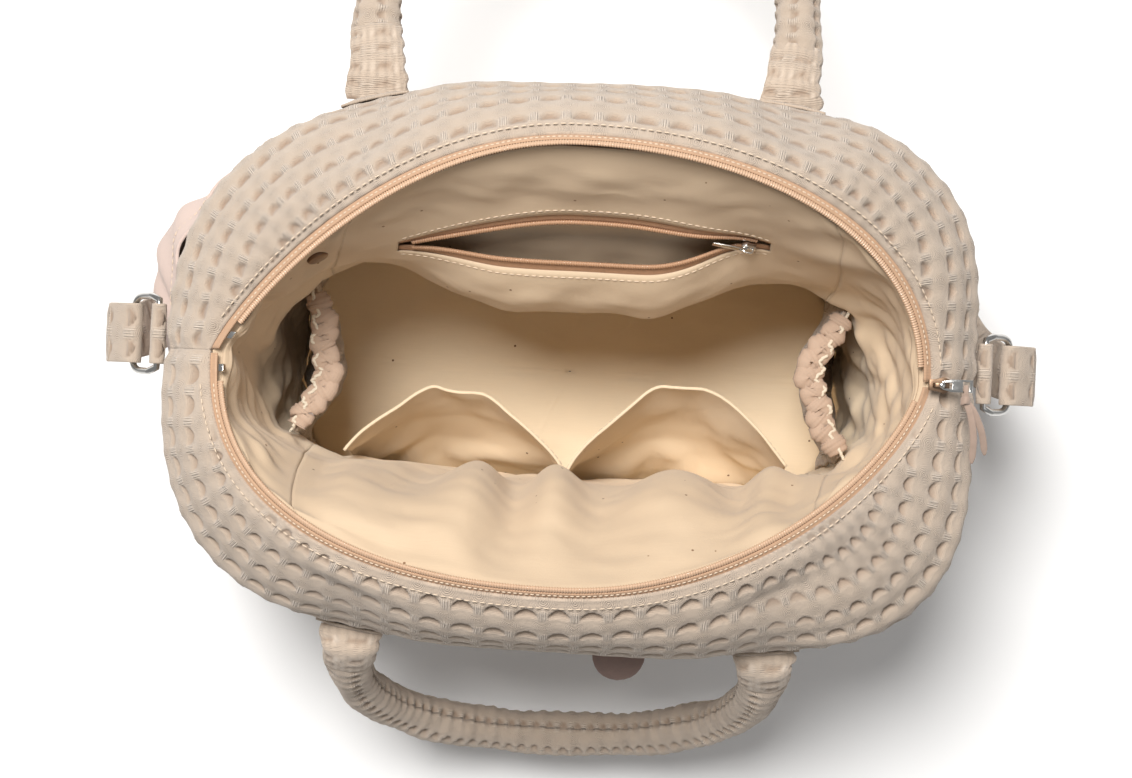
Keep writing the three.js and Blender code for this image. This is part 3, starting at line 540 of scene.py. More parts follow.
def waffle_material():
    n = Nodes("waffle_cotton", Roughness=0.92, Sheen_Weight=0.25, Sheen_Roughness=0.6)
    dimple = n.mark("dimple")
    gather = n.mark("gather")
    mottle = n.noise(60.0, 4.0)
    light = n.mix(mottle, color(0.44, 0.345, 0.264), color(0.52, 0.424, 0.337))
    # painted shade: the dimples' hollows are coloured darker, as they would be in shade
    painted_dimple_shade = n.mix(mottle, color(0.245, 0.158, 0.105), color(0.32, 0.222, 0.155))
    tone = n.mix(n.math("MULTIPLY", dimple, 0.8), light, painted_dimple_shade)
    pale = n.math("MULTIPLY", gather, n.math("MULTIPLY", n.ribs(0, 1.3 * MM), 0.5))
    tone = n.mix(pale, tone, color(0.80, 0.70, 0.60))
    n.put(tone, n.shader.inputs["Base Color"])
    weave = weave_height(n, 0.62 * MM)
    fuzz = n.noise(900.0, 3.0)
    crumple = n.noise(260.0, 4.0)
    ridges = n.math("MULTIPLY", gather, n.ribs(0, 1.6 * MM))
    height = n.math("ADD", n.math("MULTIPLY", weave, 0.35), n.math("MULTIPLY", fuzz, 0.6))
    height = n.math("ADD", height, n.math("MULTIPLY", crumple, 1.1))
    height = n.math("ADD", height, n.math("MULTIPLY", puff_rings(n), 0.8))
    normal = n.bump(height, 0.6 * MM, 1.0)
    n.put(n.bump(ridges, 0.6 * MM, 1.0, normal), n.shader.inputs["Normal"])
    return n.material


PAINTED_SHADE_FULL_Z, PAINTED_SHADE_FROM_Z = 250 * MM, 60 * MM  # painted shade and light: the calico is painted its darker tone above, as shade, and its paler tone below, as light falling into the bag


def cotton_material(name, pale, dark, flecks_and_shade=True):
    """Plain cotton; with the flag set it is unbleached calico with seed flecks, painted darker towards its
    top as shade and paler low in the bag as light.
    """
    n = Nodes(name, Roughness=0.85, Sheen_Weight=0.15)
    mottle = n.noise(14.0, 5.0, roughness=0.6)
    tone = n.mix(mottle, dark, pale)
    if flecks_and_shade:
        # painted shade: the calico's tone darkens with height and stays paler near the floor, standing in for
        # the light that falls into the bag
        height = n.add("SeparateXYZ", {0: n.place()}).outputs[2]
        fade = n.add("MapRange", {"Value": height, "From Min": PAINTED_SHADE_FROM_Z, "From Max": PAINTED_SHADE_FULL_Z})
        rise = fade.outputs[0]
        tone = n.mix(rise, tone, n.mix(mottle, color(0.535, 0.397, 0.265), color(0.605, 0.462, 0.32)))
    stretch = n.add("Mapping", {"Scale": (60.0, 1400.0, 1.0), "Vector": n.cloth()})
    streak = n.add("TexNoise", {"Scale": 1.0, "Detail": 2.0, "Vector": stretch.outputs[0]})
    slub = n.math("MULTIPLY", streak.outputs["Fac"], 0.25)
    tone = n.mix(slub, tone, darker(dark, 0.82))
    if flecks_and_shade:
        cells = n.add("TexVoronoi", {"Scale": 85.0, "Vector": n.place(), "Randomness": 1.0})
        spot = n.math("LESS_THAN", cells.outputs["Distance"], 0.065)
        rare = n.math("GREATER_THAN", n.add("SeparateColor", {0: cells.outputs["Color"]}).outputs[0], 0.62)
        tone = n.mix(n.math("MULTIPLY", spot, rare), tone, color(0.22, 0.12, 0.06))
    n.put(tone, n.shader.inputs["Base Color"])
    height = n.math("ADD", weave_height(n, 0.55 * MM), n.math("MULTIPLY", streak.outputs["Fac"], 0.8))
    n.put(n.bump(height, 0.12 * MM, 0.8), n.shader.inputs["Normal"])
    return n.material


def tape_material(name, tone, pitch=0.9 * MM):
    n = Nodes(name, Roughness=0.7, Sheen_Weight=0.1)
    n.mottle(n.noise(300.0, 3.0), tone, darker(tone, 0.8))
    n.put(n.bump(weave_height(n, pitch), 0.2 * MM, 0.9), n.shader.inputs["Normal"])
    return n.material


def coil_material(name, tone):
    n = Nodes(name, Roughness=0.38, Coat_Weight=0.15)
    n.mottle(n.noise(500.0, 2.0), tone, darker(tone, 0.78))
    n.put(n.bump(n.noise(2200.0, 2.0), 0.05 * MM, 0.5), n.shader.inputs["Normal"])
    return n.material


def metal_material(name, tone, rough, wear):
    n = Nodes(name, Metallic=1.0)
    n.mottle(n.noise(160.0, 4.0), tone, wear)
    n.put(n.math("MULTIPLY_ADD", n.noise(700.0, 3.0), 0.16, rough), n.shader.inputs["Roughness"])
    n.put(n.bump(n.noise(1500.0, 2.0), 0.03 * MM, 0.35), n.shader.inputs["Normal"])
    return n.material


def suede_material(name, tone, rough=0.85):
    n = Nodes(name, Roughness=rough, Sheen_Weight=0.3)
    n.mottle(n.noise(220.0, 5.0), tone, darker(tone, 0.72))
    n.put(n.bump(n.noise(1300.0, 4.0), 0.15 * MM, 0.7), n.shader.inputs["Normal"])
    return n.material


WAFFLE_MATERIAL = waffle_material()
COTTON_MATERIAL = cotton_material("natural_calico", color(0.94, 0.78, 0.56), color(0.87, 0.70, 0.49))
CASING_MATERIAL = cotton_material("gathered_casing", color(0.50, 0.365, 0.275), color(0.40, 0.28, 0.2), False)
TWILL_MATERIAL = cotton_material("brushed_twill", color(0.62, 0.49, 0.435), color(0.56, 0.44, 0.385), False)
THREAD_MATERIAL = tape_material("sewing_thread", color(0.70, 0.56, 0.42), 0.7 * MM)
TAPE_MATERIAL = tape_material("zip_tape", color(0.55, 0.345, 0.215))
DARK_TAPE_MATERIAL = tape_material("pocket_zip_tape", color(0.45, 0.25, 0.14))
COIL_MATERIAL = coil_material("zip_coil", color(0.60, 0.40, 0.265))
DARK_COIL_MATERIAL = coil_material("pocket_zip_coil", color(0.50, 0.29, 0.17))
STEEL_MATERIAL = metal_material("bright_steel", color(0.72, 0.71, 0.69), 0.12, color(0.58, 0.57, 0.55))
BRONZE_MATERIAL = metal_material("antique_bronze", color(0.12, 0.075, 0.05), 0.3, color(0.26, 0.17, 0.11))
RIBBON_MATERIAL = suede_material("ribbon_suede", color(0.40, 0.29, 0.23))
TAB_MATERIAL = suede_material("tab_leather", color(0.20, 0.11, 0.08), 0.6)
BOARD_MATERIAL = suede_material("pressed_board", color(0.32, 0.28, 0.24))
ELASTIC_MATERIAL = tape_material("overlock_thread", color(0.80, 0.70, 0.55))

# ------------------------------------------------------------------ outer walls and zip strips
waffle_wall("right_end_panel", -45, 45, 0, 1, 11)
waffle_wall("back_panel", 45, 135, 0, 1, 12)
waffle_wall("left_end_panel", 135, 225, 0, 1, 13)
waffle_wall("front_panel", 225, 315, 0, 1, 14)
waffle_wall("back_zip_strip", 0, 180, 1, 2, 15)
waffle_wall("front_zip_strip", 180, 360, 1, 2, 16)


# ------------------------------------------------------------------ cloth that hangs
def lattice_sample(grid, i, j, closed=False):
    """A lattice's value between its points, at fractional places i and j, on smooth curves."""
    m, n = grid.shape[:2]
    i0, j0 = np.floor(i).astype(int), np.floor(j).astype(int)
    fi, fj = i - i0, j - j0

    def weights(t):
        return (-0.5 * t + t**2 - 0.5 * t**3, 1 - 2.5 * t**2 + 1.5 * t**3,
                0.5 * t + 2 * t**2 - 1.5 * t**3, -0.5 * t**2 + 0.5 * t**3)

    total = 0
    for a, wi in zip((-1, 0, 1, 2), weights(fi)):
        rows = (i0 + a) % m if closed else np.clip(i0 + a, 0, m - 1)
        for b, wj in zip((-1, 0, 1, 2), weights(fj)):
            total = total + (wi * wj)[..., None] * grid[rows, np.clip(j0 + b, 0, n - 1)]
    return total


def hang(grid, pins, slack, frames, bending, closed=False):
    """Lets a lattice of cloth hang from its pins, weighted 0 to 1, with that share of extra cloth."""
    scene = bpy.context.scene
    m, n = grid.shape[:2]
    cloth_piece = mesh_object("hanging_cloth", grid.reshape(-1, 3), grid_faces(m, n, 0, closed))
    group = cloth_piece.vertex_groups.new(name="sewn")
    rounded = np.round(pins.ravel(), 1)
    for weight in np.unique(rounded[rounded > 0]):
        group.add(np.nonzero(rounded == weight)[0].tolist(), float(weight), "REPLACE")
    cloth = cloth_piece.modifiers.new("cloth", "CLOTH")
    cloth.settings.quality = 5
    cloth.settings.mass = 0.004
    cloth.settings.tension_stiffness = 18
    cloth.settings.compression_stiffness = 12
    cloth.settings.shear_stiffness = 4
    cloth.settings.bending_stiffness = bending
    cloth.settings.air_damping = 4
    cloth.settings.vertex_group_mass = "sewn"
    cloth.settings.shrink_min = -slack
    cloth.collision_settings.use_collision = False
    cloth.point_cache.frame_end = frames
    for step in range(1, frames + 1):
        scene.frame_set(step)
    hung = cloth_piece.evaluated_get(bpy.context.evaluated_depsgraph_get())
    places = np.empty(m * n * 3)
    hung.data.vertices.foreach_get("co", places)
    bpy.data.objects.remove(cloth_piece)
    scene.frame_set(1)
    return places.reshape(m, n, 3)


def soften(grid, passes, closed=False):
    """The lattice with its small folds smoothed away."""
    for _ in range(passes):
        before = np.roll(grid, 1, 0)
        after = np.roll(grid, -1, 0)
        if not closed:
            before[0], after[-1] = grid[0], grid[-1]
        below = np.concatenate([grid[:, :1], grid[:, :-1]], 1)
        above = np.concatenate([grid[:, 1:], grid[:, -1:]], 1)
        grid = grid * 0.4 + 0.15 * (before + after + below + above)
    return grid


# ------------------------------------------------------------------ lining
LINING_FOOT = 0.012
ZIP_WINDOW = (58.0, 122.0, 0.74, 0.82)  # the inner zip's slot: from and to in degrees, low and high
# Each pocket's first and last seam, in degrees, and how far a slip pocket gapes.
SLIP_POCKETS = {"left": (231.0, 270.0, 48 * MM), "right": (270.0, 309.0, 58 * MM)}
END_POCKETS = {"left": (141.0, 219.0), "right": (-39.0, 39.0)}
POCKET_FOOT, POCKET_HEM = 0.1, 0.56  # in heights w
POCKET_SEAMS = {edge for pocket in (*SLIP_POCKETS.values(), *END_POCKETS.values()) for edge in pocket[:2]}
ZIP_MIDDLE = 0.78  # the height w of the inner zip's middle
POUCH_DEPTH = 34 * MM  # how far the back lining hangs in below the inner zip
# The lining's simulation lattice.
SIM_PHI = even_angles(INNER, 0.9, 0, 360, 5.5 * MM)[:-1]
SIM_W = even_heights(INNER, 270, LINING_FOOT, 1, 5.5 * MM)


def near_angle(phi, middle, half):
    """1 within half degrees of the middle angle, and 0 beyond."""
    return (abs((phi - middle + 180) % 360 - 180) <= half) * 1.0


def hang_lining():
    """How far the lining hangs in from its smooth wall, on the simulation's lattice."""
    phi, w = SIM_PHI[:, None], SIM_W[None, :]
    wall = wall_point(INNER, phi, w)
    way = inward(INNER, phi, w)
    start = wall + way * (2.5 * MM + 2 * MM * waves(wall, 0.05, 5))[..., None]
    pins = np.zeros(wall.shape[:2])
    pins[:, 0] = 1
    pins[:, -1] = 1
    start[:, 0] = wall[:, 0]
    start[:, -1] = wall[:, -1]
    low = (w > POCKET_FOOT) & (w < POCKET_HEM)
    for seam in POCKET_SEAMS:
        pins = np.maximum(pins, 0.6 * near_angle(phi, seam, 1.2) * low)
    zip_near = (abs(phi - 90) < 37) & (abs(w - ZIP_MIDDLE) < 0.07)
    pins = np.maximum(pins, 0.8 * zip_near)
    hung = hang(start, pins, 0.07, 28, 0.4, closed=True)
    depth = ((hung - wall) * way).sum(-1)
    front = np.exp(-(((phi - 270) / 34) ** 2))
    room = 2 * MM + (34 - 18 * front) * MM * smooth(0.5, 0.72, w) + 5 * MM * smooth(0.0, 0.1, w)
    over = np.maximum(depth - room, 0) + np.minimum(depth - 0.2 * MM, 0)
    sag = hung - way * over[..., None] - wall
    calm = (smooth(40, 60, phi) * (1 - smooth(120, 140, phi)) * smooth(0.3, 0.5, w))[..., None]
    calm = np.maximum(calm, 0.75 * np.exp(-(((phi - 270) / 30) ** 2))[..., None])
    sag = soften(sag, 2, True)
    sag = sag * (1 - calm) + soften(sag, 40, True) * calm
    low_belly = smooth(0.38, 0.6, w) * (1 - smooth(0.6, 0.88, w))
    pouch = POUCH_DEPTH * low_belly * smooth(50, 78, phi) * (1 - smooth(102, 130, phi))
    held_back = np.exp(-(((phi - 60) / 7) ** 2) - ((w - ZIP_MIDDLE) / 0.09) ** 2)
    return (sag + way * pouch[..., None]) * (1 - held_back)[..., None]


LINING_SAG = hang_lining()


def lining_at(phi, w):
    """The lining's outer face, as it hangs."""
    phi, w = np.broadcast_arrays(np.asarray(phi, float), np.asarray(w, float))
    around = np.interp(phi % 360, np.append(SIM_PHI, 360), np.arange(len(SIM_PHI) + 1))
    up = np.interp(w, SIM_W, np.arange(len(SIM_W)))
    return wall_point(INNER, phi, w) + lattice_sample(LINING_SAG, around, up, True)


def cloth_uv(grid):
    """How far across and up the cloth each point of its lattice lies, in metres."""
    across = np.cumsum(np.linalg.norm(np.diff(grid, axis=0, prepend=grid[:1]), axis=-1), axis=0)
    up = np.cumsum(np.linalg.norm(np.diff(grid, axis=1, prepend=grid[:, :1]), axis=-1), axis=1)
    return np.stack([across, up], -1)


def cloth_sheet(name, grid, way, thick, material, nodes, height=0, marks=None, uv=None,
                keep=None):
    """A cloth piece from its lattice; way points to the side that shows, where height stands out."""
    normal = normals_of(grid)
    normal *= np.sign((normal * way).sum())
    outer = grid + normal * (thick + np.asarray(height)[..., None])
    piece = shell_object(name, outer, grid, cloth_uv(grid) if uv is None else uv, marks, keep=keep)
    finish_piece(piece, "bag", nodes, material)


def wrinkles(uv, seed, fine, soft):
    """Soft creases of cotton, in metres: long ones that lean one way and short ones that cross them."""
    turned = np.stack([uv[..., 0] + 0.35 * uv[..., 1], 0.45 * uv[..., 1]], -1)
    crossed = np.stack([0.5 * uv[..., 0] - 0.2 * uv[..., 1], uv[..., 1]], -1)
    long_folds = waves(turned, 0.045, seed, 10)
    short_folds = waves(crossed, 0.022, seed + 1, 10)
    creases = 1 - 2 * abs(waves(uv, 0.05, seed + 2, 9)).clip(0, 0.5)
    return (soft * long_folds + 0.5 * soft * short_folds + fine * creases**3) * MM


ZIP_TAPE = 0.016  # how much tape shows beside each coil, in heights w


def lens_warp(phi, w):
    """Moves the rows beside the inner zip so that its slot opens as a lens."""
    start, end, low, high = ZIP_WINDOW
    half = (high - low) / 2
    opening = (zip_gap(phi, np.sign(w - ZIP_MIDDLE)) + ZIP_TAPE) / half
    beside = 1 - smooth(half, 0.13, abs(w - ZIP_MIDDLE))
    along = smooth(start - 14, start, phi) * (1 - smooth(end, end + 14, phi))
    return ZIP_MIDDLE + (w - ZIP_MIDDLE) * (1 + (opening - 1) * beside * along)


def zip_gap(phi, side):
    """How far the coil above (+1) or below (-1) lies from the inner zip's middle, in heights w."""
    u = np.clip((phi - ZIP_WINDOW[0]) / (ZIP_WINDOW[1] - ZIP_WINDOW[0]), 0, 1)
    return 0.006 + np.where(side > 0, 0.038, 0.03) * np.sin(math.pi * u**0.9).clip(0) ** 1.1


FRONT_FOLD = 17 * MM


def front_folds(phi, w):
    """The broad soft folds where the front lining hangs in over its pockets."""
    between_ends = smooth(229, 240, phi) * (1 - smooth(300, 311, phi))
    band = smooth(0.56, 0.7, w) * (1 - smooth(0.74, 0.98, w)) * between_ends
    swing = np.sin(math.radians(20) * (phi - 270) + 0.9 * np.sin(phi / 7) + 2.2 * w)
    return FRONT_FOLD * band * (0.5 + 0.5 * swing)


LINING_STEP = 2.4 * MM


def lining_wall(name, start, end, seed, window=False):
    """A side of the lining as it hangs, with the inner zip's slot left open where window is set."""
    phi = even_angles(INNER, 0.9, start, end, LINING_STEP)
    w = even_heights(INNER, 270, LINING_FOOT, 1, LINING_STEP)
    keep = None
    rows = np.broadcast_to(w[None, :], (len(phi), len(w))).copy()
    if window:
        first, last, low, high = ZIP_WINDOW
        for edge in (first, last):
            phi[np.argmin(abs(phi - edge))] = edge
        for edge in (low, high):
            w[np.argmin(abs(w - edge))] = edge
        rows = lens_warp(phi[:, None], w[None, :])
        in_phi = (phi[:-1] >= first - 0.01) & (phi[1:] <= last + 0.01)
        in_w = (w[:-1] >= low - 1e-4) & (w[1:] <= high + 1e-4)
        keep = ~(in_phi[:, None] & in_w[None, :])
    grid = lining_at(phi[:, None], rows)
    way = inward(INNER, phi[:, None], rows)
    uv = cloth_uv(grid)
    edge = from_edges(grid.shape[:2], LINING_STEP, LINING_STEP)
    at_end = name in ("lining_left", "lining_right")
    fine, soft = (0.5, 2.0) if at_end else (0.28, 0.8)
    folds = wrinkles(uv + start, seed, fine, soft) * smooth(0, 25 * MM, edge)
    if window:
        beyond_zip = np.maximum(abs(w - ZIP_MIDDLE)[None, :], (abs(phi - 90)[:, None] - 32) / 300)
        folds = folds * smooth(0.04, 0.11, beyond_zip)
    grid = grid + way * np.maximum(folds, -1.2 * MM)[..., None]
    if name == "lining_front":
        grid = grid + way * front_folds(phi[:, None], w[None, :])[..., None]
    seam_dip = 1.2 * MM * np.exp(-((edge / (3 * MM)) ** 2))
    grid = grid - way * 0.3 * seam_dip[..., None]
    cloth_sheet(name + "_cloth", grid, way, LINING, COTTON_MATERIAL, [name],
                uv=uv, keep=keep)


lining_wall("lining_right", -45, 45, 31)
lining_wall("lining_back", 45, 135, 32, window=True)
lining_wall("lining_left", 135, 225, 33)
lining_wall("lining_front", 225, 315, 34)


# ------------------------------------------------------------------ seams, stitches and cords
THREAD = 0.35 * MM  # half a stitch's thickness


def frame_along(line, side):
    """Unit tangents, sides and ups along a line of points, from rough side directions."""
    t = unit(np.gradient(line, axis=0))
    side = unit(side - (side * t).sum(-1, keepdims=True) * t)
    return t, side, np.cross(t, side)


def rounded_section(angle, power):
    """A section of half size 1, a circle for power 2 and squarer for more."""
    c, s = np.cos(angle), np.sin(angle)
    k = (abs(c) ** power + abs(s) ** power) ** (-1 / power)
    return c * k, s * k


def sweep(name, line, side, half_wide, half_high, around, power=2.0, marks=None):
    """A tube along line whose section is half_wide along side and half_high across it.

    Both are numbers or lattices with a row for each of the line's points.
    """
    _, side, up = frame_along(line, side)
    angle = circle(around)
    across, out = rounded_section(angle, power)
    rings = line[:, None] + side[:, None] * (half_wide * across + 0 * line[:, :1])[..., None] \
        + up[:, None] * (half_high * out + 0 * line[:, :1])[..., None]
    uv = np.stack(np.broadcast_arrays(angle[None, :] * 2 * MM, lengths(line)[:, None]), -1)
    return tube_object(name, rings, uv, marks)


def resample(line, spacing, *others):
    """A line at even spacing, with other values that go with its points."""
    along = lengths(line)
    count = max(3, int(round(along[-1] / spacing)) + 1)
    even = np.linspace(0, along[-1], count)
    return [np.stack([np.interp(even, along, column) for column in v.T], -1) for v in (line, *others)]


def smooth_line(points, count):
    """A Catmull-Rom curve through points."""
    points = np.asarray(points, float)
    places = np.linspace(0, len(points) - 1, count)
    grid = np.repeat(points[:, None], 2, axis=1)
    return lattice_sample(grid, places, np.zeros(count))


def stitches(name, line, normal, length=3.2 * MM, gap=1.0 * MM):
    """A row of stitches laid along line, each a small rounded bead of thread."""
    line, normal = resample(line, 0.5 * MM, normal)
    along = lengths(line)
    around, steps = 6, 6
    angle = circle(around)
    swell = THREAD * np.sqrt(1 - np.linspace(-0.97, 0.97, steps) ** 2)[:, None]
    quads = grid_faces(around, steps, 0, True)
    quads = quads % steps * around + quads // steps
    ends = [list(range(around))[::-1], [around * (steps - 1) + k for k in range(around)]]
    points, faces = [], []
    for start in np.arange(gap, along[-1] - length, length + gap):
        even = start + length * np.linspace(0, 1, steps)
        place = np.stack([np.interp(even, along, line[:, k]) for k in range(3)], -1)
        lift = np.stack([np.interp(even, along, normal[:, k]) for k in range(3)], -1)
        _, side, up = frame_along(place, np.cross(lift, place[-1] - place[0]))
        ring = place[:, None] + unit(lift)[:, None] * 0.15 * MM \
            + side[:, None] * (1.3 * swell * np.cos(angle))[..., None] \
            + up[:, None] * (swell * np.sin(angle))[..., None]
        first = len(points) * around * steps
        points.append(ring.reshape(-1, 3))
        faces += (quads + first).tolist()
        faces += [[k + first for k in end] for end in ends]
    obj = mesh_object(name, np.concatenate(points), faces)
    obj.data.materials.append(THREAD_MATERIAL)
    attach(obj, "bag")


def coil(name, line, side, half_wide, half_high, pitch, material, nodes):
    """A zip's nylon coil: a cord whose turns stand out as slanted ribs."""
    line, side = resample(line, pitch / 6, side)
    around = 12
    angle = circle(around)
    turn = 2 * math.pi * lengths(line)[:, None] / pitch + 0.9 * np.sin(angle)[None, :]
    rib = 0.84 + 0.16 * np.sin(turn)
    piece = sweep(name, line, side, half_wide * rib, half_high * rib, around, power=2.6)
    finish_piece(piece, "bag", nodes, material)


# ------------------------------------------------------------------ top zip
def zip_place(phi, up, depth):
    """A point of the zip: up beyond the strip's edge, and depth below its outer face."""
    phi, up, depth = np.broadcast_arrays(phi, up, depth)
    edge = wall_point(OUTER, phi, 2.0)
    way = unit(edge - wall_point(OUTER, phi, 1.95))
    return edge + way * up[..., None] + inward(OUTER, phi, 2.0) * depth[..., None]


def top_zip(side, tape_from, tape_to, coil_from, coil_to):
    """One half of the top zip: its tape, its coil and its two rows of stitches, between angles in degrees."""
    phi = even_angles(OUTER, 2.0, tape_from, tape_to, 2 * MM)
    up = np.linspace(-8, 5, 9) * MM
    phi_grid, up_grid = np.meshgrid(phi, up, indexing="ij")
    grid = zip_place(phi_grid, up_grid, 5.1 * MM - 1.2 * MM * smooth(0, 5 * MM, up_grid))
    out = -inward(OUTER, phi_grid, 2.0)
    cloth_sheet(side + "_zip_tape_cloth", grid, out, 0.8 * MM, TAPE_MATERIAL,
                [side + "_zip_tape"])
    fine = even_angles(OUTER, 2.0, coil_from, coil_to, 1.5 * MM)
    line = zip_place(fine, 6.6 * MM, 4.3 * MM)
    across = zip_place(fine, 8.6 * MM, 4.3 * MM) - line
    coil(side + "_zip_coil_turns", line, across, 1.9 * MM, 1.35 * MM, 1.45 * MM, COIL_MATERIAL,
         [side + "_zip_coil"])
    out = -inward(OUTER, fine, 2.0)
    stitches(side + "_zip_tape_stitches", zip_place(fine, 2.6 * MM, 3.6 * MM), out, 2.2 * MM, 0.8 * MM)
    stitches(side + "_zip_strip_stitches", zip_place(fine, -3.2 * MM, -0.4 * MM), out)


top_zip("back", 0.6, 179.4, 4.5, 172)
top_zip("front", 180.6, 359.4, 188, 355.5)


def zip_end_facing(side, middle):
    """The lining's turned-up edge, which joins the lining to the zip round one of the zip's ends."""
    phi = even_angles(INNER, 1.0, middle - 17, middle + 17, 2 * MM)
    share = np.linspace(0, 1, 12)
    phi_grid, share_grid = np.meshgrid(phi, share, indexing="ij")
    way = inward(INNER, phi_grid, 0.97)
    low = lining_at(phi_grid, 0.96) + way * 1.3 * MM
    high = zip_place(phi_grid, -1.0 * MM, 6.3 * MM)
    rise = share_grid[..., None]
    grid = low * (1 - rise) + high * rise + way * (1.6 * MM * np.sin(math.pi * share_grid))[..., None]
    cloth_sheet("zip_end_facing_" + side, grid, way, LINING, COTTON_MATERIAL, [])


zip_end_facing("left", 180)
zip_end_facing("right", 0)


# ------------------------------------------------------------------ inner zip pocket
def inner_zip():
    """The inner zip's two tapes and coils, and the stitches that hold them to the slot."""
    start, end = ZIP_WINDOW[:2]
    phi = even_angles(INNER, ZIP_MIDDLE, start, end, 2 * MM)
    across = np.linspace(0, 1, 7)
    for side, sign in (("lower", -1), ("upper", 1)):
        gap = zip_gap(phi, sign)
        at_edge = ZIP_MIDDLE + sign * (gap + ZIP_TAPE)
        grid_w = at_edge[:, None] - sign * (across[None, :] * 0.036 - 0.02)
        grid = lining_at(phi[:, None], grid_w) - inward(INNER, phi[:, None], grid_w) * 1.2 * MM
        way = inward(INNER, phi[:, None], grid_w)
        cloth_sheet("pocket_" + side + "_tape_cloth", grid, way, 0.7 * MM, DARK_TAPE_MATERIAL,
                    ["pocket_" + side + "_tape"])
        line_w = ZIP_MIDDLE + sign * gap
        line = lining_at(phi, line_w) + inward(INNER, phi, line_w) * 0.2 * MM
        beside = lining_at(phi, line_w + 0.01) - lining_at(phi, line_w)
        inside = slice(4, -4)
        coil("pocket_" + side + "_coil_turns", line[inside], beside[inside], 1.5 * MM, 1.2 * MM, 1.4 * MM,
             DARK_COIL_MATERIAL, ["pocket_" + side + "_coil"])
        row_w = at_edge + sign * 0.01
        row = lining_at(phi, row_w) + inward(INNER, phi, row_w) * 1.0 * MM
        stitches("pocket_" + side + "_stitches", row, inward(INNER, phi, row_w))


inner_zip()


BAG_LOW, BAG_HIGH = 0.34, 0.9  # in heights w


def zip_pocket_bag():
    """The inner zip pocket's bag, which hangs behind the lining."""
    phi = even_angles(INNER, 0.6, 51, 129, 3 * MM)
    w = np.linspace(BAG_LOW, BAG_HIGH, 50)
    phi_grid, w_grid = np.meshgrid(phi, w, indexing="ij")
    across = np.sin(np.radians(180 * (phi_grid - 45.2) / 89.6)).clip(0)
    up = np.sin(math.pi * (((w_grid - BAG_LOW) / (BAG_HIGH - BAG_LOW)) ** 1.2)).clip(0)
    way = inward(INNER, phi_grid, w_grid)
    grid = lining_at(phi_grid, w_grid) - way * ((2.5 + 20 * across**0.5 * up) * MM)[..., None]
    grid = grid + way * wrinkles(cloth_uv(grid), 41, 0.3, 0.7)[..., None]
    cloth_sheet("zip_pocket_bag_cloth", grid, way, LINING, COTTON_MATERIAL,
                ["zip_pocket_bag"])


zip_pocket_bag()


# ------------------------------------------------------------------ slip pockets
def pocket_lattice(phi, w, span, bulge, lift, belly=0.0):
    """A pocket's cloth over the lining, gaping by bulge at its hem."""
    u = np.clip((phi - span[0]) / (span[1] - span[0]), 0, 1)
    across = np.sin(math.pi * u) ** 0.8
    share = np.clip((w - POCKET_FOOT) / (POCKET_HEM - POCKET_FOOT), 0, 1.05)
    up = share**1.25 + belly * np.sin(math.pi * share.clip(0, 1) ** 1.3)
    way = inward(INNER, phi, w)
    return lining_at(phi, w) + way * (lift + bulge * across * up)[..., None], way


def slip_pocket(side, seed):
    """A slip pocket's cloth, hung from its seams and gaping at its stitched hem."""
    start, end, bulge = SLIP_POCKETS[side]
    phi = even_angles(INNER, 0.4, start + 0.3, end - 0.3, 5 * MM)
    w = even_heights(INNER, 270, POCKET_FOOT, POCKET_HEM, 5 * MM)
    phi_grid, w_grid = np.meshgrid(phi, w, indexing="ij")
    grid, way = pocket_lattice(phi_grid, w_grid, (start, end), bulge, 1.6 * MM)
    pins = np.zeros(grid.shape[:2])
    pins[0] = pins[-1] = pins[:, 0] = 1
    pins[len(phi) // 2 - 2:len(phi) // 2 + 2, -1] = 0.2
    hung = soften(hang(grid, pins, 0.03, 24, 0.5), 2)
    wall = lining_at(phi_grid, w_grid)
    depth = ((hung - wall) * way).sum(-1)
    hung = hung + way * np.maximum(1.4 * MM - depth, 0)[..., None]
    finer = np.meshgrid(*(np.linspace(0, count - 1, count * 3) for count in hung.shape[:2]), indexing="ij")
    fine = lattice_sample(hung, *finer)
    fine_way = unit(lattice_sample(way, *finer))
    uv = cloth_uv(fine)
    top = uv[:, -1:, 1] - uv[..., 1]
    hem = 1 - smooth(6.6 * MM, 7.6 * MM, top)
    edge = from_edges(fine.shape[:2], 1.7 * MM, 1.7 * MM, (1, 1, 1, 0))
    fine = fine + fine_way * (wrinkles(uv, seed, 0.2, 0.5) * smooth(0, 14 * MM, edge))[..., None]
    cloth_sheet("slip_pocket_" + side + "_cloth", fine, fine_way, LINING, COTTON_MATERIAL,
                ["slip_pocket_" + side], height=0.9 * MM * hem, uv=uv)
    normal = normals_of(fine)
    normal *= np.sign((normal * fine_way).sum())
    row = np.argmin(abs(top.mean(0) - 6.2 * MM))
    stitches("slip_pocket_" + side + "_stitches", fine[:, row] + normal[:, row] * 1.9 * MM, normal[:, row])


slip_pocket("left", 51)
slip_pocket("right", 61)


# ------------------------------------------------------------------ elastic pockets at the ends
RUFFLE = 11.5 * MM  # from one gather of the elastic to the next
DRAWN = 600  # how many times the rows of an elastic pocket are drawn towards smooth curves


def drawn_taut(grid):
    """The same lattice with its rows drawn smooth between their two sewn ends."""
    drawn = grid.copy()
    for _ in range(DRAWN):
        drawn[1:-1] += 0.25 * (drawn[:-2] - 2 * drawn[1:-1] + drawn[2:])
    return drawn


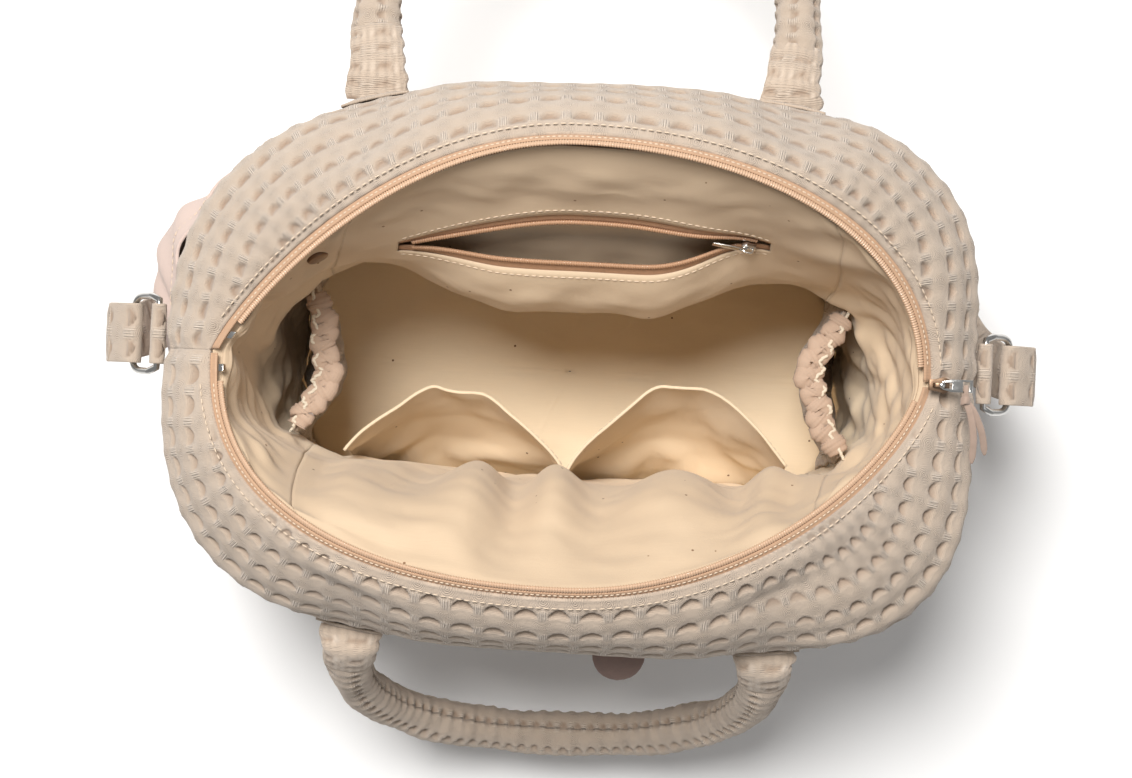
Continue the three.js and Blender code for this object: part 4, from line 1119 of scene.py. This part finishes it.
def end_pocket(side):
    """A waffle pocket across one end of the lining, ruffled where its elastic draws it in."""
    start, end = END_POCKETS[side]
    phi = even_angles(INNER, 0.5, start + 0.3, end - 0.3, 1.5 * MM)
    w = np.linspace(POCKET_FOOT, POCKET_HEM, 110)
    phi_grid, w_grid = np.meshgrid(phi, w, indexing="ij")
    grid, way = pocket_lattice(phi_grid, w_grid, (start, end), 40 * MM, 2.0 * MM, 0.45)
    up = (w_grid - POCKET_FOOT) / (POCKET_HEM - POCKET_FOOT)
    tight = smooth(0.1, 0.8, up)[..., None]
    grid = grid * (1 - tight) + drawn_taut(grid) * tight
    uv = cloth_uv(grid)
    hem_along = uv[:, -1, 0][:, None]
    edge = from_edges(grid.shape[:2], 1.5 * MM, 1.4 * MM, (1, 1, 1, 0))
    sway = 0.25 * waves(uv, 0.03, 71)
    ruffle = 2.4 * MM * up**3 * np.sin(2 * math.pi * hem_along / RUFFLE + 2 * sway)
    sag = 3 * MM * waves(uv * np.array([1, 0.5]), 0.05, 72) * up
    grid = grid + way * ((ruffle + sag) * smooth(0, 14 * MM, edge))[..., None]
    cells = np.stack([hem_along + 0 * up + sway * 2 * MM, uv[..., 1]], -1)
    height, marks = relief(cells, 0.8, pitch_u=RUFFLE)
    height = height * smooth(0, 5 * MM, edge)
    cloth_sheet("end_pocket_" + side + "_cloth", grid, way, 2.2 * MM, WAFFLE_MATERIAL,
                ["end_pocket_" + side], height, marks, cells)
    elastic_hem(side, grid[:, -1], way[:, -1])


def elastic_hem(side, line, way):
    """The ruffled casing over the pocket's elastic, with its overlocked edge."""
    line, way = resample(line, 0.8 * MM, way)
    along = lengths(line)
    swell = abs(np.sin(math.pi * along / RUFFLE + 0.5 * np.sin(along / 0.021)))
    rise = np.array([0, 0, 1.0])
    angle = circle(18)
    centre = line + rise * (3.2 * MM) + way * (3.4 * MM + 1.6 * MM * (swell[:, None] - 0.5))
    high = ((3.2 + 2.0 * swell) * MM)[:, None]
    wide = ((5.6 + 2.2 * swell) * MM)[:, None]
    pleat = 1 + 0.07 * np.sin(2 * math.pi * along / (2.6 * MM))[:, None] * (np.sin(angle) > -0.3)
    piece = sweep("elastic_" + side + "_casing", centre, way, wide * pleat, high * pleat, len(angle))
    finish_piece(piece, "bag", ["elastic_" + side], CASING_MATERIAL)
    scallop = 0.6 * MM * np.sin(2 * math.pi * along / (3.4 * MM))[:, None]
    edge = centre + rise * high * 0.7 - way * (wide * 0.75 + scallop)
    overlock = sweep("elastic_" + side + "_overlock", edge, way, 1.0 * MM, 1.0 * MM, 8)
    finish_piece(overlock, "bag", [], ELASTIC_MATERIAL)


end_pocket("left")
end_pocket("right")


# ------------------------------------------------------------------ base and floor
def disc_sheet(name, half_wide, half_deep, squareness, low, thick, spacing, waffled):
    """A flat rounded sheet: the waffled base, which shows its underside, or the lining's seamed floor."""
    angle = circle(int(2 * math.pi * half_wide / spacing))
    c, s = np.cos(angle), np.sin(angle)
    k = reach(abs(c), abs(s), np.full(len(angle), squareness))
    share = np.linspace(0.004, 1, int(half_deep / spacing))
    x = share[None, :] * (half_wide * k * c)[:, None]
    y = share[None, :] * (half_deep * k * s)[:, None]
    uv = np.stack([x, y], -1)
    from_rim = (1 - share[None, :]) * half_deep
    if waffled:
        height, marks = relief(uv, 0.6)
        height = height * smooth(0, 7 * MM, from_rim) - 1.2 * MM * (1 - smooth(0, 6 * MM, from_rim))
        showing, hidden = low - np.minimum(height, 0), low + thick
        look = "waffle_cotton", WAFFLE_MATERIAL
    else:
        marks = {}
        height = wrinkles(uv, 81, 0.3, 0.6) * smooth(0, 20 * MM, from_rim)
        height = height - 0.8 * MM * np.exp(-(((abs(y) - 2 * MM) / (2 * MM)) ** 2))
        showing, hidden = low + thick + np.maximum(height, -0.5 * MM), low
        look = "cotton_lining", COTTON_MATERIAL
    outer = np.stack([x, y, showing], -1)
    inner = np.stack([x, y, hidden + 0 * x], -1)
    piece = shell_object(name + "_cloth", outer, inner, uv, marks, closed=True)
    finish_piece(piece, "bag", [name], look[1])


disc_sheet("base_panel", 187.5 * MM, 93.5 * MM, 5.5, 0.3 * MM, 3.2 * MM, 2.2 * MM, waffled=True)
disc_sheet("lining_base", 176 * MM, 82 * MM, 5.0, 7.6 * MM, 1 * MM, 2.6 * MM, waffled=False)


# ------------------------------------------------------------------ smooth pocket outside the left end
OUTER_POCKET = (141.0, 212.0, 0.14, 0.78)  # from and to in degrees, and its foot and hem in heights w
OUTER_LIFT = 1.6 * MM  # how far off the wall its cloth lies at least


def outer_pocket():
    """The pocket of brushed twill, which bellies out most beside the back panel."""
    start, end, foot, top = OUTER_POCKET
    phi = even_angles(OUTER, 0.6, start, end, 1.8 * MM)
    w = np.linspace(foot, top, 110)
    phi_grid, w_grid = np.meshgrid(phi, w, indexing="ij")
    u = (phi_grid - start) / (end - start)
    across = np.sin(math.pi * u**1.15).clip(0) ** 0.8
    rim_drawn_in = 1 - 0.74 * smooth(0.685, top, w_grid)
    up = np.clip((w_grid - 0.08) / 0.6, 0, 1) ** 1.2 * rim_drawn_in
    out = -inward(OUTER, phi_grid, w_grid)
    wall = wall_point(OUTER, phi_grid, w_grid)
    bulge = (12 + 31 * np.exp(-(((u - 0.22) / 0.2) ** 2))) * MM
    grid = wall + out * (OUTER_LIFT + bulge * across * up)[..., None]
    uv = cloth_uv(grid)
    edge = from_edges(grid.shape[:2], 1.8 * MM, 1.6 * MM, (1, 1, 1, 0))
    fans = np.stack([uv[..., 0] * (0.6 + 0.5 * up), 0.18 * uv[..., 1]], -1)
    folds = 2.6 * MM * waves(fans, 0.05, 91, 8) + 0.4 * MM * waves(fans, 0.018, 92, 8)
    grid = grid + out * (folds * smooth(0, 22 * MM, edge))[..., None]
    depth = ((grid - wall) * out).sum(-1)
    grid = grid + out * np.maximum(OUTER_LIFT - depth, 0)[..., None]
    hem = 1 - smooth(9 * MM, 10 * MM, uv[:, -1:, 1] - uv[..., 1])
    cloth_sheet("outer_pocket_cloth", grid, out, 1.2 * MM, TWILL_MATERIAL, ["outer_pocket"],
                height=0.9 * MM * hem, uv=uv)
    normal = unit(out[:, -6])
    stitches("outer_pocket_stitches", grid[:, -6] + normal * 2.2 * MM, normal)


outer_pocket()

# ------------------------------------------------------------------ handles
HANDLE_RADIUS = 14 * MM
HANDLE_END = (15 * MM, 4.5 * MM)  # its half height and half width where it is sewn down
HANDLE_CELLS = 5  # waffle cells round a handle
SQUEEZE = 8.8 * MM  # from one cell to the next along a handle
HANDLE_REACH = 170 * MM
HANDLE_LEAN = {-1: math.radians(24), 1: math.radians(78)}  # out from straight down: the front's, the back's
HINGE_DEPTH = SEAM_HALF_DEPTH * MM + 6 * MM
HINGE_Z = 224 * MM
# Points of a handle's line: across in HANDLE_SPREAD, and down in HANDLE_REACH.
HANDLE_SHAPE = [(-1, 0.02), (-1.02, 0.2), (-0.98, 0.5), (-0.8, 0.77), (-0.45, 0.95), (0, 1), (0.45, 0.95),
                (0.8, 0.77), (0.98, 0.5), (1.02, 0.2), (1, 0.02)]


def handle_frame(sign, points):
    """Turns points of a handle, hanging along -Z in the plane y = 0, to its lean and place."""
    turn = sign * HANDLE_LEAN[sign]
    x, y, z = points[..., 0], points[..., 1], points[..., 2]
    return np.stack([x, y * math.cos(turn) - z * math.sin(turn) + sign * HINGE_DEPTH,
                     y * math.sin(turn) + z * math.cos(turn) + HINGE_Z], -1)


def handle_line():
    flat = [(x * HANDLE_SPREAD, 0, -t * HANDLE_REACH) for x, t in HANDLE_SHAPE]
    return smooth_line(flat, 900)


def handle(name, sign, seed):
    """A rolled handle, flattened towards its two sewn ends."""
    line, = resample(handle_line(), 1.5 * MM)
    along = lengths(line)
    share = along / along[-1]
    from_end = np.minimum(share, 1 - share)
    grown = smooth(0, 0.1, from_end)
    angle = circle(64)
    c, s = np.cos(angle), np.sin(angle)
    _, side, out = frame_along(line, np.broadcast_to(np.array([0, 1.0, 0]), line.shape))
    high, wide = (end + (HANDLE_RADIUS - end) * grown for end in HANDLE_END)
    turn = angle / (2 * math.pi) * HANDLE_CELLS
    place = along + 1.0 * MM * np.sin(along / 0.013 + seed)
    cells = np.stack(np.broadcast_arrays(place[:, None] / SQUEEZE, turn[None, :]), -1)
    swell, dimple, gather = waffle(cells, 1.0, 1.0)
    ripple = np.cos(2 * math.pi * place / SQUEEZE)[:, None]
    places = np.stack(np.broadcast_arrays(along[:, None], 0.04 * c[None], 0.04 * s[None]), -1)
    soft = waves(places, 0.05, seed)
    lift = (0.8 * swell - 1.9 * dimple - 0.1 * ripple + 0.7 * soft) * MM - 0.6 * MM
    lift -= 1.0 * MM * (smooth(0.04, 0.09, from_end) * (1 - smooth(0.22, 0.32, from_end)))[:, None]
    lift *= smooth(0, 0.03, from_end)[:, None]
    rings = line[:, None] + side[:, None] * ((wide[:, None] + lift) * s)[..., None] \
        + out[:, None] * ((high[:, None] + lift) * c)[..., None]
    uv = np.stack(np.broadcast_arrays(turn[None, :] * CELL, along[:, None]), -1)
    piece = tube_object(name + "_roll", handle_frame(sign, rings), uv, {"dimple": dimple, "gather": gather})
    finish_piece(piece, name, [name], WAFFLE_MATERIAL)


def angle_at(sign, x, w):
    """The wall's angle where it is x across, on the back for sign 1 or the front for sign -1."""
    low = 45.0 if sign > 0 else 225.0
    high = low + 90
    for _ in range(30):
        phi = (low + high) / 2
        if sign * (wall_point(OUTER, phi, w)[0] - x) > 0:
            low = phi
        else:
            high = phi
    return low


ROOT_LOW, ROOT_RISE = 0.84, 0.13  # in heights w
ROOT_HALF = 19 * MM
ROOT_POINTS = 26


def handle_root(name, sign, where):
    """The patch that sews a handle's end to the wall, and the neck of cloth between the two."""
    x = HANDLE_SPREAD * (1 if where == "right" else -1)
    across = np.linspace(-1, 1, ROOT_POINTS)
    w = np.linspace(ROOT_LOW, ROOT_LOW + ROOT_RISE, ROOT_POINTS)
    grid = np.empty((ROOT_POINTS, ROOT_POINTS, 3))
    for j, level in enumerate(w):
        first, last = sorted(angle_at(sign, x + k * ROOT_HALF, level) for k in (-1, 1))
        grid[:, j] = wall_point(OUTER, np.linspace(first, last, ROOT_POINTS), level)
    out = unit(np.array([0, sign, 0.35]))
    up = np.sin(math.pi * (w - ROOT_LOW) / ROOT_RISE).clip(0) ** 0.7
    bulge = (1 - abs(across[:, None]) ** 3) * up[None, :]
    uv = cloth_uv(grid)
    height, marks = relief(uv - uv[ROOT_POINTS // 2, ROOT_POINTS // 2], 0.8)
    outer = grid + out * (1.6 * MM + (2.2 * MM + height) * bulge)[..., None]
    piece = shell_object(name + "_root_" + where + "_patch", outer, grid + out * 0.2 * MM, uv, marks)
    finish_piece(piece, "bag", [name + "_root_" + where], WAFFLE_MATERIAL)
    neck(name, sign, where, x)


NECK_POINTS = 22


def neck(name, sign, where, x):
    """The soft neck of cloth from a patch to its handle."""
    line = handle_line()
    along = lengths(line)
    share = 0.045 if x < 0 else 0.955
    end = np.array([np.interp(share * along[-1], along, line[:, k]) for k in range(3)])
    first = np.array([x, 0, -0.003])
    start = wall_point(OUTER, angle_at(sign, x, 0.93), 0.93)
    path = smooth_line(np.stack([start, *handle_frame(sign, np.array([first, end]))]), NECK_POINTS)
    fade = np.linspace(0, 1, NECK_POINTS)
    angle = circle(40)
    side = np.broadcast_to(np.array([1.0, 0, 0]), path.shape)
    folds = np.cos(5 * np.linspace(0, 2 * math.pi, len(angle)))
    swell = 1 + 0.05 * np.sin(fade * 9)[:, None] + 0.035 * folds[None, :]
    wide = (17.0 - 3.2 * smooth(0.3, 1, fade))[:, None] * MM * swell
    high = (4.5 + 3.4 * smooth(0, 1, fade))[:, None] * MM * swell
    turn = HANDLE_CELLS * angle / (2 * math.pi)
    cells = np.stack(np.broadcast_arrays(turn[None], lengths(path)[:, None] / (9 * MM)), -1)
    lift, dimple, gather = waffle(cells, 1.0, 1.0)
    relief_out = (0.6 * lift - dimple) * MM
    piece = sweep(name + "_neck_" + where, path, side, wide + relief_out, high + relief_out, len(angle),
                  marks={"dimple": dimple, "gather": gather})
    blend = "bag", name, path[2].tolist(), path[-3].tolist()
    finish_piece(piece, blend, [], WAFFLE_MATERIAL)


for handle_name, handle_sign, handle_seed in (("front_handle", -1, 3), ("back_handle", 1, 4)):
    handle(handle_name, handle_sign, handle_seed)
    for end_name in ("left", "right"):
        handle_root(handle_name, handle_sign, end_name)

# ------------------------------------------------------------------ ring tabs, D-rings, loops and strap
STRAP_HALF = 17 * MM
BAR_OUT, BAR_UP = SEAM_HALF_WIDTH + 5.8, 230  # where a ring's straight bar lies, in millimetres
RING_Y = 8 * MM
WIRE = 2 * MM
RING_HALF = 21.5 * MM
RING_REACH = 22 * MM
RING_TILT = 40
ENDS = {"left": -1, "right": 1}


def at_ring(side, tilt, points):
    """Places points given from the ring's bar, +X out along the tilt and +Z up, at one end of the bag."""
    turn = math.radians(tilt)
    x, y, z = points[..., 0], points[..., 1], points[..., 2]
    sign = ENDS[side]
    out = BAR_OUT * MM + x * math.cos(turn) + z * math.sin(turn)
    up = BAR_UP * MM - x * math.sin(turn) + z * math.cos(turn)
    return np.stack([sign * out, sign * y + RING_Y, up], -1)


def band(name, line, side, half_thick, body, nodes):
    """A strap: a flat, soft-edged band of waffle cloth, two cells wide, along a line."""
    line, side = resample(line, 1.4 * MM, side)
    flat_across, round_out = rounded_section(circle(56), 5.0)
    along = lengths(line)
    across = STRAP_HALF * flat_across
    cells = np.stack(np.broadcast_arrays(across[None, :] + CELL / 2, along[:, None]), -1)
    height, marks = relief(cells, 0.55)
    rim = smooth(0, 3.5 * MM, STRAP_HALF - abs(across))[None, :]
    _, side, up = frame_along(line, side)
    ends = smooth(0, 3 * MM, np.minimum(along, along[-1] - along))[:, None]
    soft = 0.25 * MM * waves(cells, 0.03, 1)
    pinch = 1 - 0.5 * np.exp(-(((STRAP_HALF - abs(across) - 3 * MM) / (1 * MM)) ** 2))
    thick = half_thick * round_out * pinch + rim * np.sign(round_out) * (height * ends + soft - 0.2 * MM)
    rings = line[:, None] + side[:, None] * across[None, :, None] + up[:, None] * thick[..., None]
    piece = tube_object(name, rings, cells, {key: value * rim for key, value in marks.items()})
    finish_piece(piece, body, nodes, WAFFLE_MATERIAL)


def loop_line(radius, reach_out):
    """Up a plate and round a bar at the origin, in the plane y = 0, ending just short of the plate."""
    plate = [(x, 0, radius) for x in np.linspace(reach_out, 0.5 * MM, 12)]
    turn = np.radians(np.linspace(95, 385, 40))
    round_bar = [(radius * math.cos(a), 0, radius * math.sin(a)) for a in turn]
    return np.array(plate + round_bar)


def d_ring(side):
    """A D-ring of round wire: its straight bar and its bow."""
    straight = [(0, y * RING_HALF, 0) for y in np.linspace(-0.88, 0.88, 14)]
    bow = []
    for angle in np.radians(np.linspace(78, -78, 60)):
        c, s = math.cos(angle), math.sin(angle)
        k = float(reach(np.array([abs(c)]), np.array([abs(s)]), np.array([6.0]))[0])
        bow.append((3 * MM + (RING_REACH - 3 * MM) * k * c, RING_HALF * k * s, 0))
    line = np.array(straight + bow)
    flat = np.broadcast_to(np.array([0, 0, 1.0]), line.shape)
    out = np.cross(unit(np.roll(line, -1, 0) - np.roll(line, 1, 0)), flat)
    c, s = (wave(circle(16))[None, :, None] for wave in (np.cos, np.sin))
    rings = line[:, None] + WIRE * (flat[:, None] * c + out[:, None] * s)
    piece = tube_object(side + "_ring_wire", at_ring(side, RING_TILT, rings), closed=True)
    finish_piece(piece, side + "_ring", [side + "_ring"], STEEL_MATERIAL)


def ring_group(side):
    """A D-ring, the tab that holds it to the bag and the strap's loop round it."""
    d_ring(side)
    along_y = np.array([[0, 1.0, 0]])
    tab = at_ring(side, 90, loop_line(3.6 * MM, 28 * MM))
    band(side + "_ring_tab_cloth", tab, along_y + 0 * tab, 0.9 * MM, "bag", [side + "_ring_tab"])
    loop = at_ring(side, RING_TILT, loop_line(4.4 * MM, 16 * MM) + np.array([RING_REACH, 0, 0]))
    band(side + "_strap_loop_cloth", loop, along_y + 0 * loop, 1.0 * MM, side + "_ring",
         [side + "_strap_loop"])


for ring_side in ENDS:
    ring_group(ring_side)


STRAP_FLOOR = 2.2 * MM  # the height of its middle where it lies on the floor
STRAP_CUTS = {"left": (0, 0.16), "middle": (0.16, 0.84), "right": (0.84, 1)}  # in shares of its length


def strap():
    """The shoulder strap, from one ring's loop round behind the bag to the other's, in three pieces.

    The middle is attached to the bag, and each end is fixed where it lies.
    """
    down, level = math.sin(math.radians(RING_TILT)), math.cos(math.radians(RING_TILT))
    out, top = 36.8, 4.6
    half = [(BAR_OUT + out * level + top * down, 8, BAR_UP - out * down + top * level),
            (268, 8, 198), (269, 9, 165), (264, 14, 110), (257, 30, 52), (248, 56, 19), (236, 84, 4.8),
            (206, 112, 2.4), (156, 130, 2.2), (108, 136, 2.2), (60, 136, 2.2)]
    points = [(-x, y, z) for x, y, z in half] + [(x, y, z) for x, y, z in half[::-1]]
    line, = resample(smooth_line(np.array(points) * MM, 1500), 1.4 * MM)
    line[:, 2] = np.maximum(line[:, 2], STRAP_FLOOR)
    share = lengths(line) / lengths(line)[-1]
    t = unit(np.gradient(line, axis=0))
    flat = unit(np.cross(np.array([0, 0, 1.0]), t))
    lying = smooth(0.06, 0.22, np.minimum(share, 1 - share))[:, None]
    side = np.array([0, 1.0, 0]) * (1 - lying) + flat * lying
    for name, (first, last) in STRAP_CUTS.items():
        part = (share >= first - 0.0012) & (share <= last + 0.0012)
        body = "bag"
        if name in ENDS:
            from_ring = line[part] if name == "left" else line[part][::-1]
            body = name + "_ring", "bag", from_ring[3].tolist(), from_ring[-12].tolist()
        band("shoulder_strap_" + name, line[part], side[part], 1.5 * MM, body, ["shoulder_strap"])


strap()


# ------------------------------------------------------------------ small hard parts
# A hard part's node, body, material and slot, how many millimetres its edges are rounded,
# and its name's ending.
HARD_PARTS = (
    ("zip_slider", "zip_slider", BRONZE_MATERIAL, "antique_bronze", 0.5, "_metal"),
    ("zip_pull", "zip_pull", STEEL_MATERIAL, "bright_steel", 0.22, "_metal"),
    ("pocket_slider", "pocket_slider", STEEL_MATERIAL, "bright_steel", 0.4, "_metal"),
    ("pocket_pull", "pocket_pull", STEEL_MATERIAL, "bright_steel", 0.22, "_metal"),
    ("strap_adjuster", "strap_adjuster", STEEL_MATERIAL, "bright_steel", 0.6, "_metal"),
    ("front_top_stop", "bag", STEEL_MATERIAL, "bright_steel", 0.4, "_metal"),
    ("back_top_stop", "bag", STEEL_MATERIAL, "bright_steel", 0.4, "_metal"),
    ("front_tab", "bag", TAB_MATERIAL, "tab_leather", 0.7, "_leather"),
    ("base_board", "bag", BOARD_MATERIAL, "stiffener_board", 0.8, "_pressed"),
    ("snap_button", "bag", BRONZE_MATERIAL, "bright_steel", 0.5, "_cap"),
)


def rounded_copy(node, body, material, slot, rounding, ending):
    """A hard part with the same shape as the frame's and softly rounded edges."""
    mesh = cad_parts[node].data.copy()
    work = bmesh.new()
    work.from_mesh(mesh)
    bmesh.ops.remove_doubles(work, verts=work.verts, dist=2e-6)
    bmesh.ops.dissolve_limit(work, angle_limit=math.radians(2), verts=work.verts, edges=work.edges)
    work.to_mesh(mesh)
    work.free()
    obj = bpy.data.objects.new(node + ending, mesh)
    bpy.context.collection.objects.link(obj)
    bevel = obj.modifiers.new("round", "BEVEL")
    bevel.width = rounding * MM
    bevel.segments = 3
    bevel.limit_method = "ANGLE"
    bevel.angle_limit = math.radians(28)
    made = bpy.data.meshes.new_from_object(obj.evaluated_get(bpy.context.evaluated_depsgraph_get()))
    obj.modifiers.clear()
    obj.data = made
    made.polygons.foreach_set("use_smooth", np.ones(len(made.polygons), bool))
    made.set_sharp_from_angle(angle=math.radians(50))
    finish_piece(obj, body, [node], material)


def rivet_head(centre, radius, height):
    """The slider's low round rivet head, facing up."""
    angle = circle(24)[:, None]
    up = np.array([0, 0, 1.0])
    side = unit(np.cross(up, [0.3, 1.0, 0.1]))
    rim = radius * (side * np.cos(angle) + np.cross(up, side) * np.sin(angle))
    lift = np.linspace(0, math.pi / 2 - 0.02, 8)
    rings = [centre + up * (height * math.sin(a)) + rim * math.cos(a) for a in lift]
    piece = tube_object("slider_rivet", np.array([centre - up * height * 0.4 + rim, *rings]))
    finish_piece(piece, "zip_slider", [], STEEL_MATERIAL)


for hard_part in HARD_PARTS:
    rounded_copy(*hard_part)
slider_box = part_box("zip_slider")
rivet_head(np.array([slider_box[0][0] + 6.5 * MM, 0, slider_box[1][2] - 0.2 * MM]), 1.7 * MM, 0.9 * MM)


PULL_SLOT = (215.3, 0, 273.3)  # the middle of the pull's slot, in millimetres
RIBBON_TAILS = {"long": [(0, 0.6, 1.7), (0, -3, 1.6), (0.4, -7.6, -0.2), (3.4, -15, -1.5), (6.6, -28, -6),
                         (7.5, -42, -13)],
                "short": [(0, 0.6, -1.6), (0, -3, -1.6), (0.6, -7.6, -1), (5.4, -14, -1.6), (11, -25, -6),
                          (14.5, -37, -13)]}
RIBBON_KNOT = [(-1.9, -8.2, -0.6), (0, -7.4, 1.4), (2.2, -7.8, -0.4), (0.2, -8.6, -2.6), (-1.9, -8.2, -0.8)]


def ribbon():
    """The suede ribbon: two tails that leave the pull's slot, and the knot round them."""
    taper = np.interp(np.linspace(0, 1, 60), [0, 0.2, 0.35, 0.93, 1], [0.8, 1.2, 1.9, 1.9, 0.7]) * MM
    for name, points in RIBBON_TAILS.items():
        line = smooth_line((np.array(points) + PULL_SLOT) * MM, len(taper))
        way = np.broadcast_to(np.array([1.0, 0.2, 0.3]), line.shape)
        piece = sweep("zip_ribbon_" + name, line, way, taper[:, None], 0.55 * MM, 16, power=4.0)
        finish_piece(piece, "zip_ribbon", ["zip_ribbon"], RIBBON_MATERIAL)
    line = smooth_line((np.array(RIBBON_KNOT) + PULL_SLOT) * MM, 40)
    way = np.broadcast_to(np.array([0.1, 1.0, 0]), line.shape)
    knot = sweep("zip_ribbon_knot", line, way, 2.2 * MM, 0.8 * MM, 14, power=3.0)
    finish_piece(knot, "zip_ribbon", [], RIBBON_MATERIAL)


ribbon()


# ------------------------------------------------------------------ stage and light
def make_stage():
    """A pale floor under the bag."""
    size = 6.0
    corners = np.array([[-size, -size, 0], [size, -size, 0], [size, size, 0], [-size, size, 0]])
    floor = mesh_object("floor", corners, np.array([[0, 1, 2, 3]]))
    n = Nodes("studio_floor", Roughness=0.9)
    n.mottle(n.noise(3.0), color(0.93, 0.93, 0.93), color(0.9, 0.9, 0.9))
    floor.data.materials.append(n.material)


def make_light(name, place, target, size, power, tone):
    data = bpy.data.lights.new(name, "AREA")
    data.shape = "DISK"
    data.size = size
    data.energy = power
    data.color = tone
    light = bpy.data.objects.new(name, data)
    light.location = place
    way = Vector(target) - Vector(place)
    light.rotation_euler = way.to_track_quat("-Z", "Y").to_euler()
    bpy.context.collection.objects.link(light)


def make_world():
    world = bpy.data.worlds.new("studio")
    bpy.context.scene.world = world
    world.use_nodes = True
    background = world.node_tree.nodes["Background"]
    background.inputs["Color"].default_value = (1, 1, 1, 1)
    background.inputs["Strength"].default_value = 0.26


make_stage()
make_world()
make_light("key", (-0.4, 0.74, 2.4), (0, 0, 0.1), 1.0, 84, (1, 0.985, 0.965))
make_light("fill", (1.6, -0.6, 1.8), (0, 0, 0.2), 1.6, 4, (1, 1, 1))
bpy.context.scene.view_settings.view_transform = "Standard"
